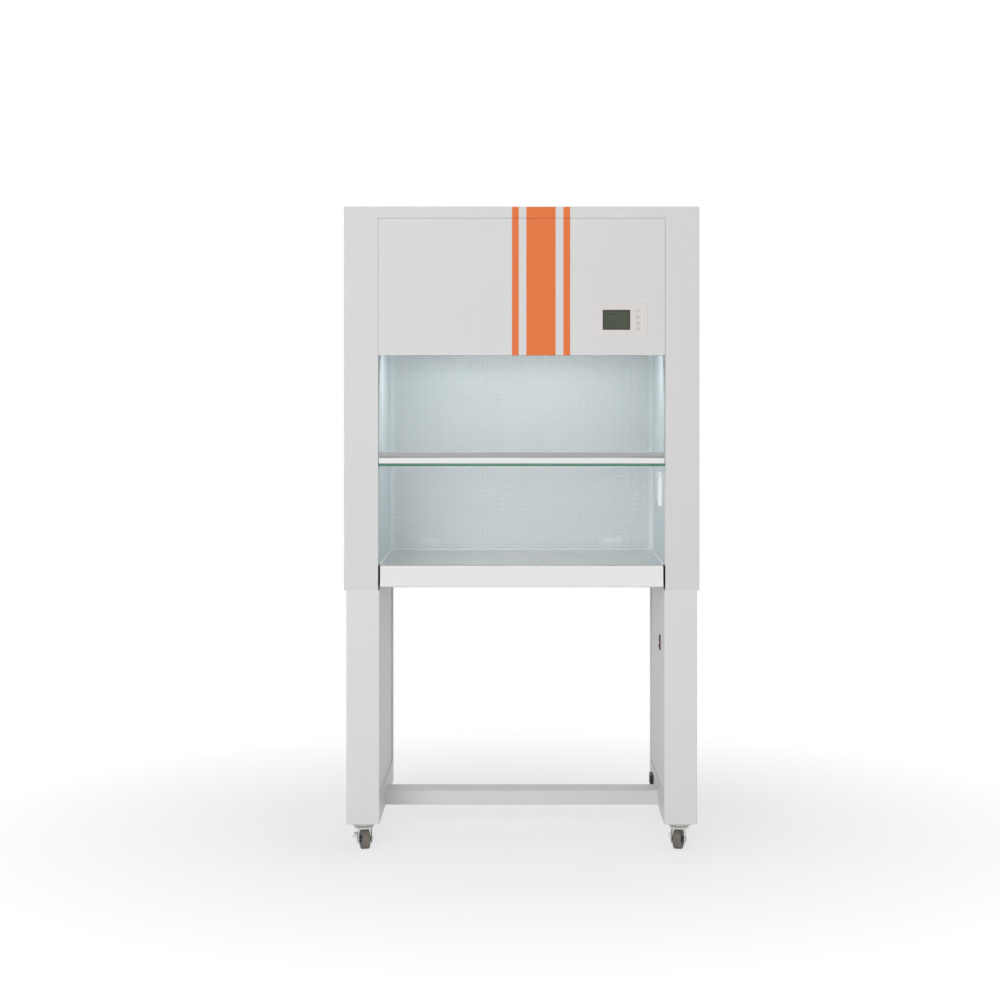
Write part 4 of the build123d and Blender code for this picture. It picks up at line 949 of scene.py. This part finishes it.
def studio_floor_finish():
    """A pale floor that is nearly white to the eye, and keeps a part of the object's shadow."""
    finish = Finish("studio_floor", Roughness=0.9, Specular_IOR_Level=0.1)
    x, y, _ = finish.axes()
    reach = (x * x + y * y) ** 0.5
    finish.coat(finish.blend(finish.noise(3.0, 3.0), grey(0.90), grey(0.92)))
    glow = finish.node("ShaderNodeEmission", {}, {"Color": grey(1.0), "Strength": 1.0})
    near_share, fade_from, fade_length = 0.66, 0.6, 0.9
    white = near_share + (1 - near_share) * ((reach - fade_from) / fade_length).held()
    mixed = finish.node("ShaderNodeMixShader", {},
                        {0: white * finish.seen(), 1: finish.shader.outputs[0], 2: glow.outputs[0]})
    finish.feed(finish.output.inputs["Surface"], mixed.outputs[0])
    return finish.material


def area_lamp(name, place, aim, size, power):
    """A soft lamp that lights the object but isn't mirrored in it."""
    data = bpy.data.lights.new(name, "AREA")
    data.shape = "DISK"
    data.size = size
    data.energy = power
    lamp = bpy.data.objects.new(name, data)
    bpy.context.scene.collection.objects.link(lamp)
    lamp.visible_glossy = False
    lamp.location = place
    lamp.rotation_euler = (Vector(aim) - Vector(place)).to_track_quat("-Z", "Y").to_euler()
    return lamp


class CABINET_OT_stage(bpy.types.Operator):
    """Set up the floor, the light and the camera"""

    bl_idname = "cabinet.stage"
    bl_label = "Floor, light and camera"

    def execute(self, context):
        scene = context.scene
        plan = scene.cabinet_stage
        scene.view_settings.view_transform = "Standard"

        bpy.ops.object.select_all(action="DESELECT")
        bpy.ops.mesh.primitive_circle_add(vertices=96, radius=9.0, fill_type="NGON")
        floor = named("studio_floor")
        floor.data.materials.append(studio_floor_finish())

        scene.world = bpy.data.worlds.new("studio")
        sky = Tree(scene.world)
        soft = sky.node("ShaderNodeBackground", {}, {"Color": (0.97, 0.985, 1.0), "Strength": plan.ambient})
        white = sky.node("ShaderNodeBackground", {}, {"Color": grey(1.0), "Strength": 1.0})
        mixed = sky.node("ShaderNodeMixShader", {},
                         {0: sky.seen(), 1: soft.outputs[0], 2: white.outputs[0]})
        sky.node("ShaderNodeOutputWorld", {}, {"Surface": mixed.outputs[0]})

        aim = Vector((0, 0, 0.9))
        lamps = (
            ("front_soft_light", (-1.1, -4.6, 1.7), 3.0, 106.0),
            ("right_soft_light", (3.2, -3.6, 1.6), 2.4, 14.0),
            ("top_soft_light", (0.0, -0.6, 4.4), 3.2, 24.0),
            ("rear_soft_light", (0.5, 4.2, 2.8), 3.0, 40.0),
        )
        for name, place, size, power in lamps:
            lamp = area_lamp(name, place, aim, size, power)
            lamp.visible_transmission = False
        under_ceiling = (0, -0.24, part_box("ceiling_panel")[0].z - 45 * MM)
        lamp = area_lamp("chamber_light", under_ceiling, (0, 0.02, 0.95), 0.60, 1.4)
        lamp.data.shape = "RECTANGLE"
        lamp.data.size_y = 0.06

        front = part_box("front_fascia")[0].y
        data = bpy.data.cameras.new("camera")
        camera = bpy.data.objects.new("camera", data)
        scene.collection.objects.link(camera)
        camera.location = (0, front - plan.camera_distance, plan.camera_height)
        camera.rotation_euler = (pi / 2, 0, 0)
        data.sensor_width = 36.0
        data.lens = 75.33
        data.shift_x = -0.0217
        data.shift_y = -0.115
        data.clip_end = 60.0
        scene.camera = camera
        return {"FINISHED"}


class CABINET_PT_sidebar(bpy.types.Panel):
    """Settings and steps of the cabinet"""

    bl_idname = "CABINET_PT_sidebar"
    bl_label = "Laminar flow cabinet"
    bl_space_type = "VIEW_3D"
    bl_region_type = "UI"
    bl_category = "Cabinet"

    def draw(self, context):
        column = self.layout.column()
        for attribute, group in SETTINGS.items():
            column.label(text=group.__doc__)
            for key in group.__annotations__:
                column.prop(getattr(context.scene, attribute), key)
        for step in STEPS:
            column.operator(step.bl_idname)


SETTINGS = {"cabinet_finish": CabinetFinish, "cabinet_diffuser": DiffuserSettings,
            "cabinet_caster": CasterSettings, "cabinet_stage": StageSettings}
STEPS = (CABINET_OT_finishes, CABINET_OT_diffuser, CABINET_OT_beads, CABINET_OT_casters, CABINET_OT_socket,
         CABINET_OT_controller, CABINET_OT_stage)


def register():
    """Register the settings, the steps and the panel."""
    for cls in (*SETTINGS.values(), *STEPS, CABINET_PT_sidebar):
        bpy.utils.register_class(cls)
    for attribute, group in SETTINGS.items():
        setattr(bpy.types.Scene, attribute, PointerProperty(type=group))


def unregister():
    """Remove what register added."""
    for attribute in SETTINGS:
        delattr(bpy.types.Scene, attribute)
    for cls in reversed((*SETTINGS.values(), *STEPS, CABINET_PT_sidebar)):
        bpy.utils.unregister_class(cls)


def main():
    """Dress the frame."""
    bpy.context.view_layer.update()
    register()
    for step in STEPS:
        group, action = step.bl_idname.split(".")
        getattr(getattr(bpy.ops, group), action)()
    bpy.context.view_layer.update()


if __name__ == "__main__":
    main()
